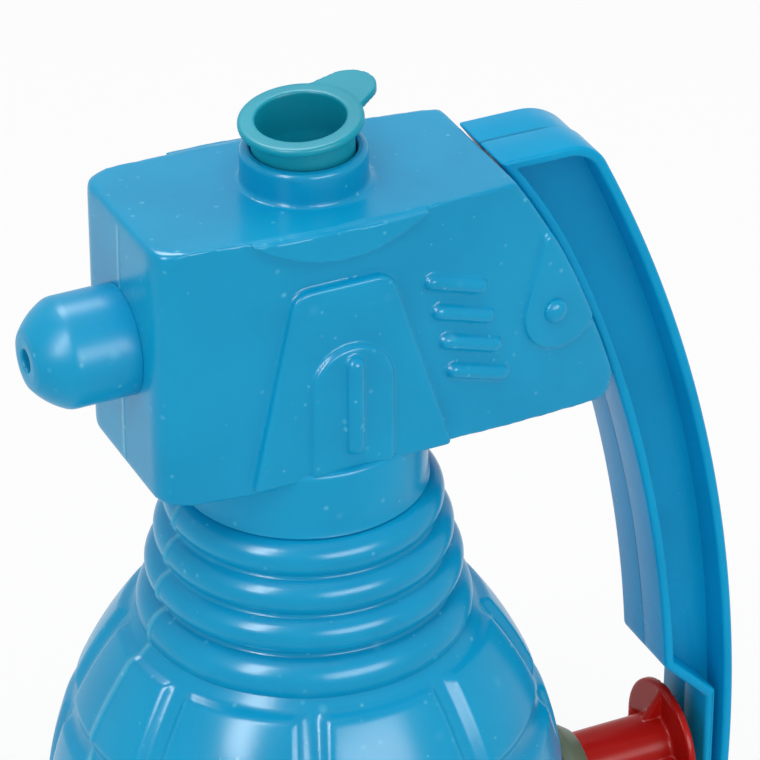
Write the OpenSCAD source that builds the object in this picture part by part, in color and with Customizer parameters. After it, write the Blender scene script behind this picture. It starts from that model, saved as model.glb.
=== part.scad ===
// Hand-held water squirter: a segmented bulb bottle with a box head, a squeeze
// lever and a piston pump. Base on z = 0, bulb axis on z, nozzle towards -x.

/* [Bulb] */
// Largest radius of the bulb
bulb_r = 32; // [29:0.5:36]
// Height of the widest ring of the bulb above the base
bulb_mid_h = 34; // [32:0.5:38]
// Radius of the bulb's upright curve
bulb_arc_r = 50; // [46:1:56]
// Angle on that curve where the panels begin
panel_top_deg = 38.3; // [36:0.1:40]
// Angle on that curve that one row of panels takes
row_deg = 17.7; // [16:0.1:18]
// Rows of panels
row_count = 4; // [3:1:4]
// Panels in one row
panel_count = 8; // [6:2:10]
// Width of the grooves between panels
groove_w = 2.8; // [2:0.1:3.2]
// Depth of the grooves between panels
groove_d = 0.7; // [0.4:0.05:0.9]
// Wall of the bottle
wall = 1.3; // [1:0.1:1.6]
// Rounding of the heel round the base
heel_r = 2.5; // [1.5:0.1:3.5]

/* [Neck and rings] */
// Radius of the plain neck
neck_r = 14.7; // [14:0.1:16]
// Height of the plain neck above the rings
neck_h = 8.5; // [8:0.1:9.5]
// Round rings below the neck, the shoulder among them
ring_count = 4; // [3:1:5]
// Radius of a ring's own section
ring_tube_r = 2.4; // [2.2:0.05:2.6]
// Step down from one ring to the next
ring_pitch = 4.55; // [4.3:0.05:4.7]
// Growth of each ring's radius over the one above
ring_grow = 1.18; // [0.9:0.02:1.3]
// How far the first ring stands out from the neck
ring_proud = 2.15; // [1.8:0.1:2.4]

/* [Head] */
// Distance of the head's front face from the bulb axis
head_front = 22.4; // [21:0.2:25]
// Width of the head where it is widest
head_w = 24; // [23:0.2:25]
// Radius of the bow of the head's sides, seen from above
head_bow_r = 210; // [180:5:260]
// Height of the head
head_h = 33.6; // [32:0.2:37]
// Height of the head's underside above the rings
head_lift = 6.3; // [5.8:0.1:6.8]
// Rounding of the head's edges
head_edge_r = 1.8; // [1.5:0.1:2.2]
// Rounding of the head's front corners seen from the side
head_corner_r = 1.8; // [1:0.1:2.4]
// How far the raised reliefs stand out from the head's sides
relief = 0.7; // [0.4:0.05:0.9]
// Width of the relief on the side that rises from the neck, at its top
buttress_top_w = 12; // [10:0.5:13]
// Width of that relief at its foot
buttress_foot_w = 25; // [23:0.5:26]
// Height of that relief
buttress_h = 25.8; // [24:0.2:27]
// Width of the arched panel on that relief
arch_w = 10.4; // [9:0.2:11]
// Height of the arched panel
arch_h = 15.8; // [14:0.2:17]
// Raised bars on each side
bar_count = 4; // [2:1:4]
// Length of a bar
bar_l = 8.8; // [7:0.2:9]
// Width of a bar
bar_w = 1.8; // [1.4:0.1:2]
// Slope of the bars, down towards the lever
bar_slope = 20; // [12:1:22]
// Radius of the raised hinge disc
hinge_disc_r = 5.3; // [5:0.1:5.6]

/* [Filler] */
// Bore of the filler boss
filler_bore_r = 6.1; // [5.8:0.05:6.4]
// Wall of the filler boss below its rim
filler_wall = 0.9; // [0.7:0.05:1.1]
// Height of the filler boss
filler_h = 2.1; // [1.8:0.1:2.8]
// Radius of the rim's round section
rim_tube_r = 1.3; // [1.1:0.05:1.4]
// Flange radius of the plug
plug_flange_r = 7.2; // [7:0.1:7.6]
// Flange thickness of the plug
plug_flange_t = 1; // [0.8:0.1:1.2]
// Height of the plug's flange above the rim
plug_rise = 4.2; // [3.6:0.1:5]
// Depth of the plug below the rim
plug_depth = 4.4; // [3.5:0.1:5]
// Wall of the plug
plug_wall = 0.75; // [0.6:0.05:0.9]
// Draft of the plug's body over its length
plug_draft = 0.6; // [0.5:0.05:0.8]
// Lift of the tab side of the loosely pushed-in plug
plug_tilt = 5.5; // [0:0.5:6]
// Direction of the plug's tab
plug_tab_deg = 24; // [0:1:90]
// Reach of the plug's tab from the plug's axis
plug_tab_reach = 12.2; // [10.5:0.1:13]
// Width of the plug's tab
plug_tab_w = 5.4; // [4.6:0.1:6]

/* [Nozzle] */
// Depth of the nozzle's axis below the head's top
nozzle_down = 16.1; // [15:0.1:18]
// Radius of the nozzle
nozzle_r = 6.55; // [6.2:0.05:7]
// Length of the nozzle's straight part
nozzle_l = 7.3; // [7:0.1:8.5]
// Length of the nozzle's nose
nose_l = 4.1; // [3.8:0.1:5]
// Radius of the nose's flat end
nose_face_r = 3.2; // [2.8:0.1:3.6]
// Radius of the nose's curve
nose_arc_r = 9; // [7:0.5:14]
// Radius of the jet hole
jet_r = 1.35; // [1:0.05:1.6]
// Length of the jet hole
jet_l = 2.4; // [2:0.1:3]
// Outer radius of the spigot that the nozzle is pushed on
spigot_r = 4.4; // [4.2:0.1:4.8]
// Wall of that spigot
spigot_wall = 1.2; // [1:0.1:1.3]
// Length of that spigot
spigot_l = 6; // [5:0.1:6.6]

/* [Lever] */
// Rearmost point of the lever from the bulb axis
lever_back_x = 56.8; // [55.5:0.2:60]
// Height of that point
lever_back_h = 32.8; // [31:0.2:35]
// Radius of the lever's outer curve
lever_arc_r = 193; // [185:1:205]
// Depth of the lever's section
lever_depth = 9.3; // [8.8:0.1:9.8]
// Width of the lever
lever_w = 11.4; // [10.4:0.2:12.4]
// Gap between the head's rear and the lever
lever_gap = 1.8; // [1.6:0.1:2.2]
// How far the lever's top lies below the head's top
lever_top_drop = 1.5; // [1:0.1:2]
// Rounding of the lever's top corner
lever_corner_r = 5.6; // [4:0.1:6.4]
// Thickness of the lever's flanges
flange_t = 1.3; // [1.1:0.05:1.5]
// Thickness of the lever's web
web_t = 2.4; // [2:0.1:3]
// Thickness of the lever's tail, where it presses the plunger
tail_t = 3.9; // [3.6:0.1:4.4]
// Height of the lever's lower end
tail_h = 10; // [8:0.5:14]
// Height of the shoulder above the tail
tail_top_h = 44.6; // [43:0.2:47]
// Distance of the hinge from the bulb axis
pivot_x = 27.5; // [27:0.1:28]
// Height of the hinge above the head's underside
pivot_up = 14; // [13.4:0.1:14.6]
// Radius of the hinge pin
pin_r = 1.5; // [1.3:0.05:1.7]
// Radius of the lever's hinge eye
eye_r = 3.2; // [3:0.1:3.4]
// Width of the lever's hinge eye
eye_w = 5; // [4:0.1:5.6]
// Angle through which the lever is squeezed
squeeze_deg = 7; // [4:0.5:7]

/* [Pump] */
// Radius of the plunger rod
rod_r = 4.25; // [4.1:0.05:4.4]
// Radius of the plunger's flange
press_r = 8.4; // [8.2:0.1:9]
// Thickness of the plunger's flange at its rim
press_t = 1.2; // [1:0.1:1.5]
// Height of the crown on the plunger's flange
press_crown = 1.9; // [1.6:0.1:2.2]
// Bore of the pump barrel
barrel_bore_r = 5.4; // [5.3:0.05:5.6]
// Wall of the pump barrel
barrel_wall = 0.9; // [0.8:0.05:1]
// Flange radius of the pump barrel
barrel_flange_r = 7; // [6.8:0.1:7.4]
// Flange thickness of the pump barrel
barrel_flange_t = 1; // [0.8:0.1:1.2]
// Thickness of the gasket under that flange
gasket_t = 1.1; // [0.9:0.1:1.3]
// Length of the cap's nose outside the barrel
cap_nose_l = 3; // [2.6:0.1:3.2]
// Radius of the cap's nose at its tip
cap_tip_r = 4.9; // [4.8:0.05:5.2]
// Depth of the cap inside the barrel
cap_depth = 4; // [3.5:0.1:4.5]
// Length of the piston
piston_l = 3.4; // [3:0.1:4]
// Width of the piston's seal
seal_w = 1.6; // [1.4:0.1:1.8]
// Room that the squeezed return spring keeps
spring_room = 7.6; // [7.2:0.2:8.2]
// Turns of the return spring
spring_turns = 7; // [5:1:7]
// Wire radius of the return spring
spring_wire_r = 0.4; // [0.3:0.05:0.4]

/* [Valves and tubes] */
// Length of the valve body outside the barrel
valve_l = 5.6; // [5.4:0.1:6]
// Length of the valve body inside the barrel
valve_plug_l = 2.8; // [2.4:0.1:3.2]
// Half the distance between the two valve passages
valve_off = 2.7; // [2.6:0.05:2.8]
// Radius of the valve chambers
chamber_r = 2; // [1.9:0.05:2.05]
// Radius of the valve balls
ball_r = 1.5; // [1.4:0.05:1.55]
// Radius of the valve seats
seat_r = 1; // [0.8:0.05:1.1]
// Lift of the valve balls
ball_lift = 0.8; // [0.5:0.1:0.9]
// Bore of the tubes
tube_bore_r = 1.5; // [1.4:0.05:1.6]
// Wall of the tubes
tube_wall = 0.75; // [0.6:0.05:0.8]
// Bend radius of the tubes below the pump
tube_bend_r = 6; // [5.5:0.1:6.4]
// Bend radius of the delivery tube in the head
head_bend_r = 9; // [8:0.2:10]
// Height of the strainer above the floor of the bottle
strainer_up = 1; // [0.6:0.1:2]
// Radius of the strainer
strainer_r = 3.4; // [3.2:0.1:4]
// Height of the strainer
strainer_h = 5; // [4:0.2:6]

/* [Fits] */
// Gap between pieces that are pushed together
seat_gap = 0.03; // [0.02:0.01:0.05]
// Gap of a shaft, piston or hinge eye that runs
run_gap = 0.06; // [0.04:0.01:0.08]
// Gap between a moving piece and its neighbours
move_gap = 0.35; // [0.3:0.05:0.45]

/* [Hidden] */
$fn = 64;

bottle_colour = [0.10, 0.58, 0.78];
lever_colour = [0.05, 0.48, 0.70];
plug_colour = [0.10, 0.58, 0.64];
rod_colour = [0.72, 0.13, 0.12];
milky_colour = [0.80, 0.83, 0.76];
rubber_colour = [0.22, 0.28, 0.22];
steel_colour = [0.70, 0.72, 0.74];

over = 1;                                  // how far cuts run past the faces that they open
reach = lever_back_x + bulb_r;             // long enough for any cut right through

// Heights, from the base up
panel_top_z = bulb_mid_h + bulb_arc_r * sin(panel_top_deg);
ring_seat = 0.35;                          // height of the crease between the last ring and the panels
crease_d = 1;                              // depth of that crease inside the last ring
neck_z = panel_top_z + 2 * ring_tube_r + (ring_count - 1) * ring_pitch + ring_seat;
neck_top_z = neck_z + neck_h;
head_z0 = neck_z + head_lift;
head_z1 = head_z0 + head_h;
rim_z = head_z1 + filler_h;
nozzle_z = head_z1 - nozzle_down;
filler_x = 0.5;                            // the filler boss stands a little behind the bulb axis
pivot_z = head_z0 + pivot_up;

// Bulb
bulb_arc_x = bulb_r - bulb_arc_r;
inner_arc_r = bulb_arc_r - groove_d - wall;
groove_r = (pow(groove_w / 2, 2) + pow(groove_d, 2)) / (2 * groove_d);
groove_out = groove_r - groove_d;          // groove centre outside the panels' surface
upright_d = groove_d - 0.1;                // upright grooves are a little shallower than the level ones
panel_low_deg = panel_top_deg - row_count * row_deg;
function bulb_r_at(z) = bulb_arc_x + sqrt(pow(bulb_arc_r, 2) - pow(z - bulb_mid_h, 2));

// Lever and head rear share the centre of the lever's curves
lever_c = [lever_back_x - lever_arc_r, lever_back_h];
lever_inner_r = lever_arc_r - lever_depth;
head_rear_r = lever_inner_r - lever_gap;
lever_top_z = head_z1 - lever_top_drop;
tail_x = lever_back_x - tail_t;
pivot = [pivot_x, pivot_z];
function arc_x(r, z) = lever_c[0] + sqrt(pow(r, 2) - pow(z - lever_c[1], 2));
pivot_dir = atan2(pivot_z - lever_c[1], pivot_x - lever_c[0]);
pivot_reach = lever_inner_r - norm(pivot - lever_c);
hinge_block_x = pivot_x - eye_r - 5;       // the head is solid behind this, round the hinge
rear_relief = 0.8;                         // hollow that lets the lever swing past the head's lower rear

// Pump, worked out from the lever inwards along -x
pump_z = bulb_mid_h + bulb_arc_r * sin(panel_top_deg - 2.5 * row_deg);
press_gap = 0.4;                           // lever to plunger crown
crown_x = tail_x - press_gap;
press_x = crown_x - press_crown - press_t; // front face of the plunger's flange
pad_x = bulb_r_at(pump_z) + 0.5;           // flat pad on the rear panel
pad_r = barrel_flange_r + 1;
pad_l = 6;                                 // the pad's boss reaches this far into the bulb
flange_x = pad_x + gasket_t;
cap_x = flange_x + barrel_flange_t;
piston_x = cap_x - cap_depth - move_gap;   // rear face of the piston
stroke = (pivot_z - pump_z) * squeeze_deg * PI / 180;
barrel_end_x = piston_x - piston_l - stroke - spring_room;
barrel_r = barrel_bore_r + barrel_wall;
valve_plug_x = barrel_end_x - valve_plug_l; // shoulder of the valve body against the barrel's end
valve_end_x = valve_plug_x - valve_l;
seal_groove_r = rod_r + 0.1;
spring_r = rod_r - 2 * spring_wire_r;

// Valves
cap_plug_l = 1.6;                          // depth of a valve cap inside its chamber
cap_flange_r = chamber_r + 0.5;
cap_flange_t = 1;
nipple_l = 3.2;
nipple_bore_r = 0.9;
ball_gap = 0.08;                           // ball to seat
ball_rise = sqrt(pow(ball_r, 2) - pow(seat_r, 2)) + ball_gap;
inlet_seat_x = valve_end_x + cap_plug_l;
inlet_ball_x = inlet_seat_x + ball_rise;
inlet_end_x = inlet_ball_x + ball_r + ball_lift + move_gap;
outlet_seat_x = valve_plug_x + valve_plug_l / 4;
outlet_ball_x = outlet_seat_x - ball_rise;
inlet_z = pump_z - valve_off;
outlet_z = pump_z + valve_off;
tube_r = tube_bore_r + tube_wall;
nipple_x = valve_end_x - cap_flange_t;
tube_end_x = nipple_x - seat_gap;
bend_x = nipple_x - nipple_l - 0.2;
tube_clear = 0.5;                          // tube to the neck's bore, at the least
tube_x = max(bend_x - tube_bend_r, tube_r + tube_clear + 1.5 * wall - neck_r); // upright runs of both tubes
bend_r = bend_x - tube_x;                  // tighter than tube_bend_r where the neck leaves less room
bottle_floor_z = wall + groove_d;
strainer_z = bottle_floor_z + strainer_up;
spigot_end_x = -head_front - spigot_l;

// Plug
plug_body_r = filler_bore_r - 0.16;
plug_body_l = plug_rise + plug_depth;

// A disc-ended strip between two circles, drawn with its tangents
module strip(a, ra, b, rb) {
    d = b - a;
    turn = atan2(d[1], d[0]);
    open = acos((ra - rb) / norm(d));
    translate(a) circle(ra);
    translate(b) circle(rb);
    polygon([
        a + ra * [cos(turn + open), sin(turn + open)],
        a + ra * [cos(turn - open), sin(turn - open)],
        b + rb * [cos(turn - open), sin(turn - open)],
        b + rb * [cos(turn + open), sin(turn + open)]
    ]);
}

// A rectangle with round corners
module round_rect(x0, x1, y0, y1, r) {
    translate([x0 + r, y0]) square([x1 - x0 - 2 * r, y1 - y0]);
    translate([x0, y0 + r]) square([x1 - x0, y1 - y0 - 2 * r]);
    for (x = [x0 + r, x1 - r], y = [y0 + r, y1 - r]) translate([x, y]) circle(r);
}

// Lays a drawing made in x and z upright, from y0 towards +y
module upright(y0, depth) {
    translate([0, y0 + depth, 0]) rotate([90, 0, 0]) linear_extrude(depth) children();
}

// Turns a drawing of radius and length round the x axis, its length along -x from x
module along_x(x, z) {
    translate([x, 0, z]) rotate([0, -90, 0]) rotate_extrude() children();
}

module rod_x(x0, x1, z, r) {
    translate([x0, 0, z]) rotate([0, 90, 0]) cylinder(h = x1 - x0, r = r);
}

// Bulb, rings and neck
module bulb_section(arc_r, z0, z1) {
    intersection() {
        translate([bulb_arc_x, bulb_mid_h]) circle(arc_r, $fn = 180);
        translate([0, z0]) square([bulb_r + over, z1 - z0]);
    }
}

module ring_stack() {
    for (i = [0 : ring_count - 1]) {
        z = neck_z - ring_tube_r - ring_seat / 2 - i * ring_pitch;
        r = neck_r + ring_proud + i * ring_grow - ring_tube_r;
        rotate_extrude() translate([r, z]) circle(ring_tube_r);
        translate([0, 0, z - ring_pitch / 2]) cylinder(h = ring_pitch, r = r);
    }
    last_r = neck_r + ring_proud + (ring_count - 1) * ring_grow;
    translate([0, 0, panel_top_z - over]) cylinder(h = ring_tube_r + over, r = last_r - crease_d);
}

// What the round heel leaves outside itself, where the curve meets the base
module heel_corner() {
    from_arc = bulb_arc_r - heel_r;
    heel = [bulb_arc_x + sqrt(pow(from_arc, 2) - pow(bulb_mid_h - heel_r, 2)), heel_r];
    out = (heel - [bulb_arc_x, bulb_mid_h]) / from_arc;
    difference() {
        polygon([heel, heel + [0, -2 * heel_r], heel + heel_r * [3, -3], heel + out * 2 * heel_r]);
        translate(heel) circle(heel_r);
    }
}

// Level grooves are part of the turned section
module bulb_turned() {
    r = bulb_arc_r + groove_out;
    rotate_extrude() difference() {
        bulb_section(bulb_arc_r, 0, panel_top_z);
        heel_corner();
        for (row = [1 : row_count]) {
            deg = panel_top_deg - row * row_deg;
            translate([bulb_arc_x + r * cos(deg), bulb_mid_h + r * sin(deg)]) circle(groove_r);
        }
    }
}

// An upright groove, from the lowest level groove to the rings
module groove_upright(deg) {
    low_z = bulb_mid_h + bulb_arc_r * sin(panel_low_deg);
    rotate([0, 0, deg]) upright(-groove_w / 2, groove_w) intersection() {
        difference() {
            translate([bulb_arc_x, bulb_mid_h]) circle(bulb_arc_r + 2 * over, $fn = 180);
            translate([bulb_arc_x, bulb_mid_h]) circle(bulb_arc_r - upright_d, $fn = 180);
        }
        translate([0, low_z]) square([reach, panel_top_z + over - low_z]);
    }
}

// Head
module head_side() {
    intersection() {
        translate(lever_c) circle(head_rear_r, $fn = 360);
        round_rect(-head_front, reach, head_z0, head_z1, head_corner_r);
    }
}

// Each flat comes from one outline, and cuts a little off the round edges of the others
flat_cut = 0.02;
head_bow_x = -3;                           // the head is widest here
function head_half(x) = head_w / 2 - head_bow_r + sqrt(pow(head_bow_r, 2) - pow(x - head_bow_x, 2));

// A wide disc with a round rim: its rim is the head's side towards -y
module side_disc() {
    z0 = head_z0 - flat_cut;
    z1 = head_z1 + flat_cut;
    in_r = head_bow_r - head_edge_r;
    translate([head_bow_x, head_bow_r - head_w / 2, 0]) rotate_extrude($fn = 360) {
        translate([0, z0]) square([in_r, z1 - z0]);
        translate([0, z0 + head_edge_r]) square([head_bow_r, z1 - z0 - 2 * head_edge_r]);
        for (z = [z0 + head_edge_r, z1 - head_edge_r]) translate([in_r, z]) circle(head_edge_r, $fn = 64);
    }
}

// The room inside that side, moved out by proud
module inside_side(proud) {
    translate([head_bow_x, head_bow_r - head_w / 2, head_z0 - over])
        cylinder(h = head_h + 2 * over, r = head_bow_r + proud, $fn = 360);
}

// The head from above, with its front corners rounded and its sides left wide
module head_plan() {
    x0 = -head_front - flat_cut;
    corner_y = head_half(x0 + head_edge_r) - head_edge_r + flat_cut;
    translate([x0 + head_edge_r, -head_w]) square([reach, 2 * head_w]);
    translate([x0, -corner_y]) square([reach, 2 * corner_y]);
    for (s = [-1, 1]) translate([x0 + head_edge_r, s * corner_y]) circle(head_edge_r);
}

module head_block() {
    intersection() {
        upright(-head_w, 2 * head_w) head_side();
        side_disc();
        mirror([0, 1, 0]) side_disc();
        translate([0, 0, head_z0 - over]) linear_extrude(head_h + 2 * over) head_plan();
    }
}

// Reliefs of the side towards -y, the other side is their mirror image
buttress_z0 = neck_top_z - over;
buttress_z1 = head_z0 + buttress_h;
buttress_mid_x = 0.6;                      // middle of its foot
buttress_top_x = -0.5;                     // middle of its top
buttress_corner_r = 2;
buttress_foot_y = neck_r - 1.1;
buttress_top_y = head_half(buttress_top_x) + relief;
buttress_lean = atan((buttress_foot_y - buttress_top_y) / (buttress_z1 - neck_top_z));

module buttress_outline() {
    top = buttress_top_w / 2 - buttress_corner_r;
    foot = buttress_foot_w / 2;
    z = buttress_z1 - buttress_corner_r;
    for (s = [-1, 1]) translate([buttress_top_x + s * top, z]) circle(buttress_corner_r);
    polygon([
        [buttress_mid_x - foot, buttress_z0],
        [buttress_mid_x + foot, buttress_z0],
        [buttress_top_x + top + buttress_corner_r, z],
        [buttress_top_x + top, buttress_z1],
        [buttress_top_x - top, buttress_z1],
        [buttress_top_x - top - buttress_corner_r, z]
    ]);
}

// The half space behind the leaning face of the relief, moved out by proud
module behind_lean(proud) {
    translate([0, -buttress_top_y, buttress_z1]) rotate([-buttress_lean, 0, 0])
        translate([-reach / 2, -proud, -reach / 2]) cube([reach, reach / 2, reach]);
}

arch_x = 0.2;                              // middle of the arched panel and its rib
arch_r = arch_w / 2;
arch_top_z = neck_top_z + arch_h;
rib_w = 2;

module arch_outline() {
    translate([arch_x, arch_top_z - arch_r]) circle(arch_r);
    translate([arch_x - arch_r, buttress_z0]) square([arch_w, arch_h + over - arch_r]);
}

module lean_rib() {
    low = 3;
    high = arch_h - 2.2;
    translate([arch_x, -buttress_top_y, buttress_z1]) rotate([-buttress_lean, 0, 0])
        translate([0, -relief / 2, neck_top_z - buttress_z1]) {
            translate([0, 0, low]) cylinder(h = high - low, r = rib_w / 2);
            for (z = [low, high]) translate([0, 0, z]) sphere(rib_w / 2);
        }
}

bar_x = 10;                                // first bar's front end from the bulb axis
bar_down = 10;                             // first bar's front end below the head's top
bar_step = [1, -4.18];                     // from one bar to the next

module bar(i) {
    end_r = bar_w / 2;
    half = bar_l / 2 - end_r;
    mid_x = bar_x + i * bar_step[0] + bar_l / 2 * cos(bar_slope);
    mid_z = head_z1 - bar_down + i * bar_step[1] - bar_l / 2 * sin(bar_slope);
    translate([mid_x, -head_half(mid_x) - relief + end_r, mid_z])
        rotate([0, 0, asin((mid_x - head_bow_x) / head_bow_r)]) rotate([0, 90 + bar_slope, 0]) {
            translate([0, 0, -half]) cylinder(h = 2 * half, r = end_r);
            for (h = [-half, half]) translate([0, 0, h]) sphere(end_r);
        }
}

module hinge_fairing() {
    tip_r = 1.2;
    intersection() {
        strip(pivot + [1.2, 0], hinge_disc_r, pivot + [-0.4, 9], tip_r);
        translate(lever_c) circle(head_rear_r, $fn = 360);
    }
}

module top_moon() {
    moon_r = 17.5;
    moon_down = 4.1;
    intersection() {
        translate([-0.5, head_z1 - moon_down + moon_r]) circle(moon_r);
        translate([-reach / 2, head_z0]) square([reach, head_h - head_edge_r * 0.5]);
    }
}

module side_reliefs() {
    intersection() {
        upright(-neck_r - over, neck_r) buttress_outline();
        behind_lean(0);
    }
    intersection() {
        upright(-neck_r - over, neck_r) arch_outline();
        behind_lean(relief * 0.8);
    }
    lean_rib();
    for (i = [0 : bar_count - 1]) bar(i);
    intersection() {
        upright(-head_w / 2 - 2 * relief, head_w / 4) {
            hinge_fairing();
            top_moon();
        }
        inside_side(relief);
    }
}

module filler_boss() {
    foot_r = filler_bore_r + filler_wall + 1.2;
    translate([filler_x, 0, 0]) rotate_extrude() {
        translate([0, head_z1 - over]) square([filler_bore_r + filler_wall, filler_h + over - rim_tube_r]);
        translate([filler_bore_r + 0.1, rim_z - rim_tube_r]) circle(rim_tube_r);
        polygon([[0, head_z1 - over], [foot_r + 0.2, head_z1 - over], [foot_r, head_z1],
            [filler_bore_r + filler_wall, head_z1 + 0.9], [0, head_z1 + 0.9]]);
    }
}

// Room for the lever's hinge eye, open to the rear
module hinge_slot() {
    half = eye_w / 2 + move_gap;
    swing = eye_r + 1.2;
    upright(-half, 2 * half) {
        translate(pivot) circle(swing);
        translate(pivot) rotate(pivot_dir) translate([0, -swing]) square([reach, 2 * swing]);
    }
    upright(-lever_w / 2 - move_gap, lever_w + 2 * move_gap) intersection() {
        difference() {
            translate(lever_c) circle(lever_inner_r + over, $fn = 360);
            translate(lever_c) circle(head_rear_r - rear_relief, $fn = 360);
        }
        translate([0, head_z0 - over]) square([reach, pivot_up - eye_r + over]);
    }
}

module bottle_hollow() {
    rotate_extrude() bulb_section(inner_arc_r, bottle_floor_z, panel_top_z - ring_tube_r);
    bore_r = neck_r - wall;
    foot_z = panel_top_z - 2 * ring_tube_r;
    translate([0, 0, foot_z])
        cylinder(h = neck_z - foot_z, r1 = bore_r + ring_count * ring_grow, r2 = bore_r);
    translate([0, 0, neck_z - over]) cylinder(h = neck_h - wall + over, r = bore_r);
    half = head_half(-head_front) - wall;
    translate([0, 0, neck_z]) linear_extrude(head_z0 + 2 * wall - neck_z)
        intersection() {
            circle(bore_r - wall / 2);
            square([2 * bore_r, 2 * half - wall / 2], center = true);
        }
    translate([-head_front + wall, -half, head_z0 + wall])
        cube([head_front - wall + hinge_block_x, 2 * half, head_h - 2 * wall]);
}

module bottle() {
    color(bottle_colour)
        difference() {
            union() {
                difference() {
                    bulb_turned();
                    for (i = [0 : panel_count - 1]) groove_upright((i + 0.5) * 360 / panel_count);
                }
                ring_stack();
                translate([0, 0, neck_z - ring_tube_r])
                    cylinder(h = neck_h + ring_tube_r, r = neck_r);
                head_block();
                side_reliefs();
                mirror([0, 1, 0]) side_reliefs();
                filler_boss();
                rod_x(spigot_end_x, -head_front + wall, nozzle_z, spigot_r);
                rod_x(pad_x - pad_l, pad_x, pump_z, pad_r);
            }
            bottle_hollow();
            translate([filler_x, 0, head_z1 - 2 * wall]) cylinder(h = filler_h + 3 * wall, r = filler_bore_r);
            rod_x(spigot_end_x - over, -head_front + 2 * wall, nozzle_z, spigot_r - spigot_wall);
            rod_x(pad_x - pad_l - over, pad_x + over, pump_z, barrel_r + seat_gap);
            hinge_slot();
            translate([pivot_x, head_w, pivot_z]) rotate([90, 0, 0])
                cylinder(h = 2 * head_w, r = pin_r + seat_gap);
        }
}

// Nozzle
nozzle_face = 0.2;                         // gap between nozzle and head
nozzle_x = -head_front - nozzle_face;
socket_l = spigot_l + 0.2;

// Centre of the nose's curve, through the shoulder and the rim of the flat end
nose_a = [nozzle_r, nozzle_l];
nose_b = [nose_face_r, nozzle_l + nose_l];
nose_mid = (nose_a + nose_b) / 2;
nose_half = norm(nose_b - nose_a) / 2;
nose_in = [nose_a[1] - nose_b[1], nose_b[0] - nose_a[0]] / (2 * nose_half);
nose_c = nose_mid + nose_in * sqrt(pow(nose_arc_r, 2) - pow(nose_half, 2));

module nozzle_tip() {
    color(bottle_colour)
        along_x(nozzle_x, nozzle_z) difference() {
            union() {
                square([nozzle_r, nozzle_l]);
                intersection() {
                    translate(nose_c) circle(nose_arc_r, $fn = 96);
                    translate([0, nozzle_l]) square([nozzle_r + over, nose_l]);
                }
            }
            translate([0, -over]) square([spigot_r + seat_gap, socket_l + over]);
            square([tube_r + 0.4, nozzle_l + nose_l - jet_l]);
            square([jet_r, nozzle_l + nose_l + over]);
        }
}

module nozzle_ferrule() {
    color(milky_colour)
        difference() {
            rod_x(spigot_end_x, -head_front + wall, nozzle_z, spigot_r - spigot_wall - seat_gap);
            rod_x(spigot_end_x - over, -head_front + wall + over, nozzle_z, tube_r + seat_gap);
        }
}

// Filler plug, drawn about the middle of the rim's top
module plug_form() {
    cup_r = plug_body_r - plug_wall;
    difference() {
        union() {
            translate([0, 0, -plug_depth]) rotate_extrude()
                polygon([[0, 0], [plug_body_r - plug_draft, 0], [plug_body_r, plug_depth],
                    [plug_body_r, plug_body_l], [0, plug_body_l]]);
            translate([0, 0, plug_rise]) linear_extrude(plug_flange_t) {
                circle(plug_flange_r);
                tab_r = plug_tab_w / 2;
                strip([0, 0], plug_flange_r * 0.7, [plug_tab_reach - tab_r, 0], tab_r);
            }
        }
        translate([0, 0, plug_wall - plug_depth]) rotate_extrude()
            polygon([[0, 0], [cup_r - plug_draft, 0], [cup_r, plug_depth],
                [cup_r, plug_body_l + plug_flange_t], [0, plug_body_l + plug_flange_t]]);
    }
}

module filler_plug() {
    color(plug_colour)
        translate([filler_x, 0, rim_z]) rotate([0, 0, plug_tab_deg]) rotate([0, -plug_tilt, 0]) plug_form();
}

// Lever, drawn in x and z and inset by t for the pockets beside the web
module lever_outline(t) {
    corner_z = lever_top_z - lever_corner_r;
    corner = [arc_x(lever_arc_r - lever_corner_r, corner_z), corner_z];
    out = (corner - lever_c) / norm(corner - lever_c);
    step_z = tail_top_h + t * sqrt(2);
    step_x = arc_x(lever_inner_r, tail_top_h);
    difference() {
        intersection() {
            translate(lever_c) circle(lever_arc_r - t, $fn = 360);
            union() {
                difference() {
                    polygon([[0, step_z + step_x], [reach, step_z + step_x - reach], [reach, lever_top_z - t],
                        [0, lever_top_z - t]]);
                    translate(lever_c) circle(lever_inner_r + t, $fn = 360);
                }
                translate([tail_x + t, tail_h + t]) square([tail_t, tail_top_h - tail_h]);
            }
        }
        difference() {
            polygon([corner, corner + [0, 2 * lever_corner_r], corner + lever_corner_r * [3, 3],
                corner + out * 2 * lever_corner_r]);
            translate(corner) circle(lever_corner_r - t);
        }
    }
}

module lever() {
    color(lever_colour)
        difference() {
            union() {
                difference() {
                    upright(-lever_w / 2, lever_w) lever_outline(0);
                    for (y = [web_t / 2, -lever_w / 2 - over])
                        upright(y, lever_w / 2 - web_t / 2 + over) lever_outline(flange_t);
                }
                upright(-eye_w / 2, eye_w) {
                    translate(pivot) circle(eye_r);
                    translate(pivot) rotate(pivot_dir)
                        translate([0, -eye_r]) square([pivot_reach + flange_t, 2 * eye_r]);
                }
            }
            translate([pivot_x, lever_w, pivot_z]) rotate([90, 0, 0])
                cylinder(h = 2 * lever_w, r = pin_r + run_gap);
        }
}

module pivot_pin() {
    half = head_half(pivot_x) + relief;
    dome_h = 0.5;
    dome_r = (pow(pin_r, 2) + pow(dome_h, 2)) / (2 * dome_h);
    color(bottle_colour)
        translate([pivot_x, 0, pivot_z]) rotate([90, 0, 0]) {
            cylinder(h = 2 * half, r = pin_r, center = true);
            for (s = [0, 180]) rotate([s, 0, 0]) intersection() {
                translate([0, 0, half + dome_h - dome_r]) sphere(dome_r);
                translate([0, 0, half - over]) cylinder(h = 2 * over, r = pin_r);
            }
        }
}

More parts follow.
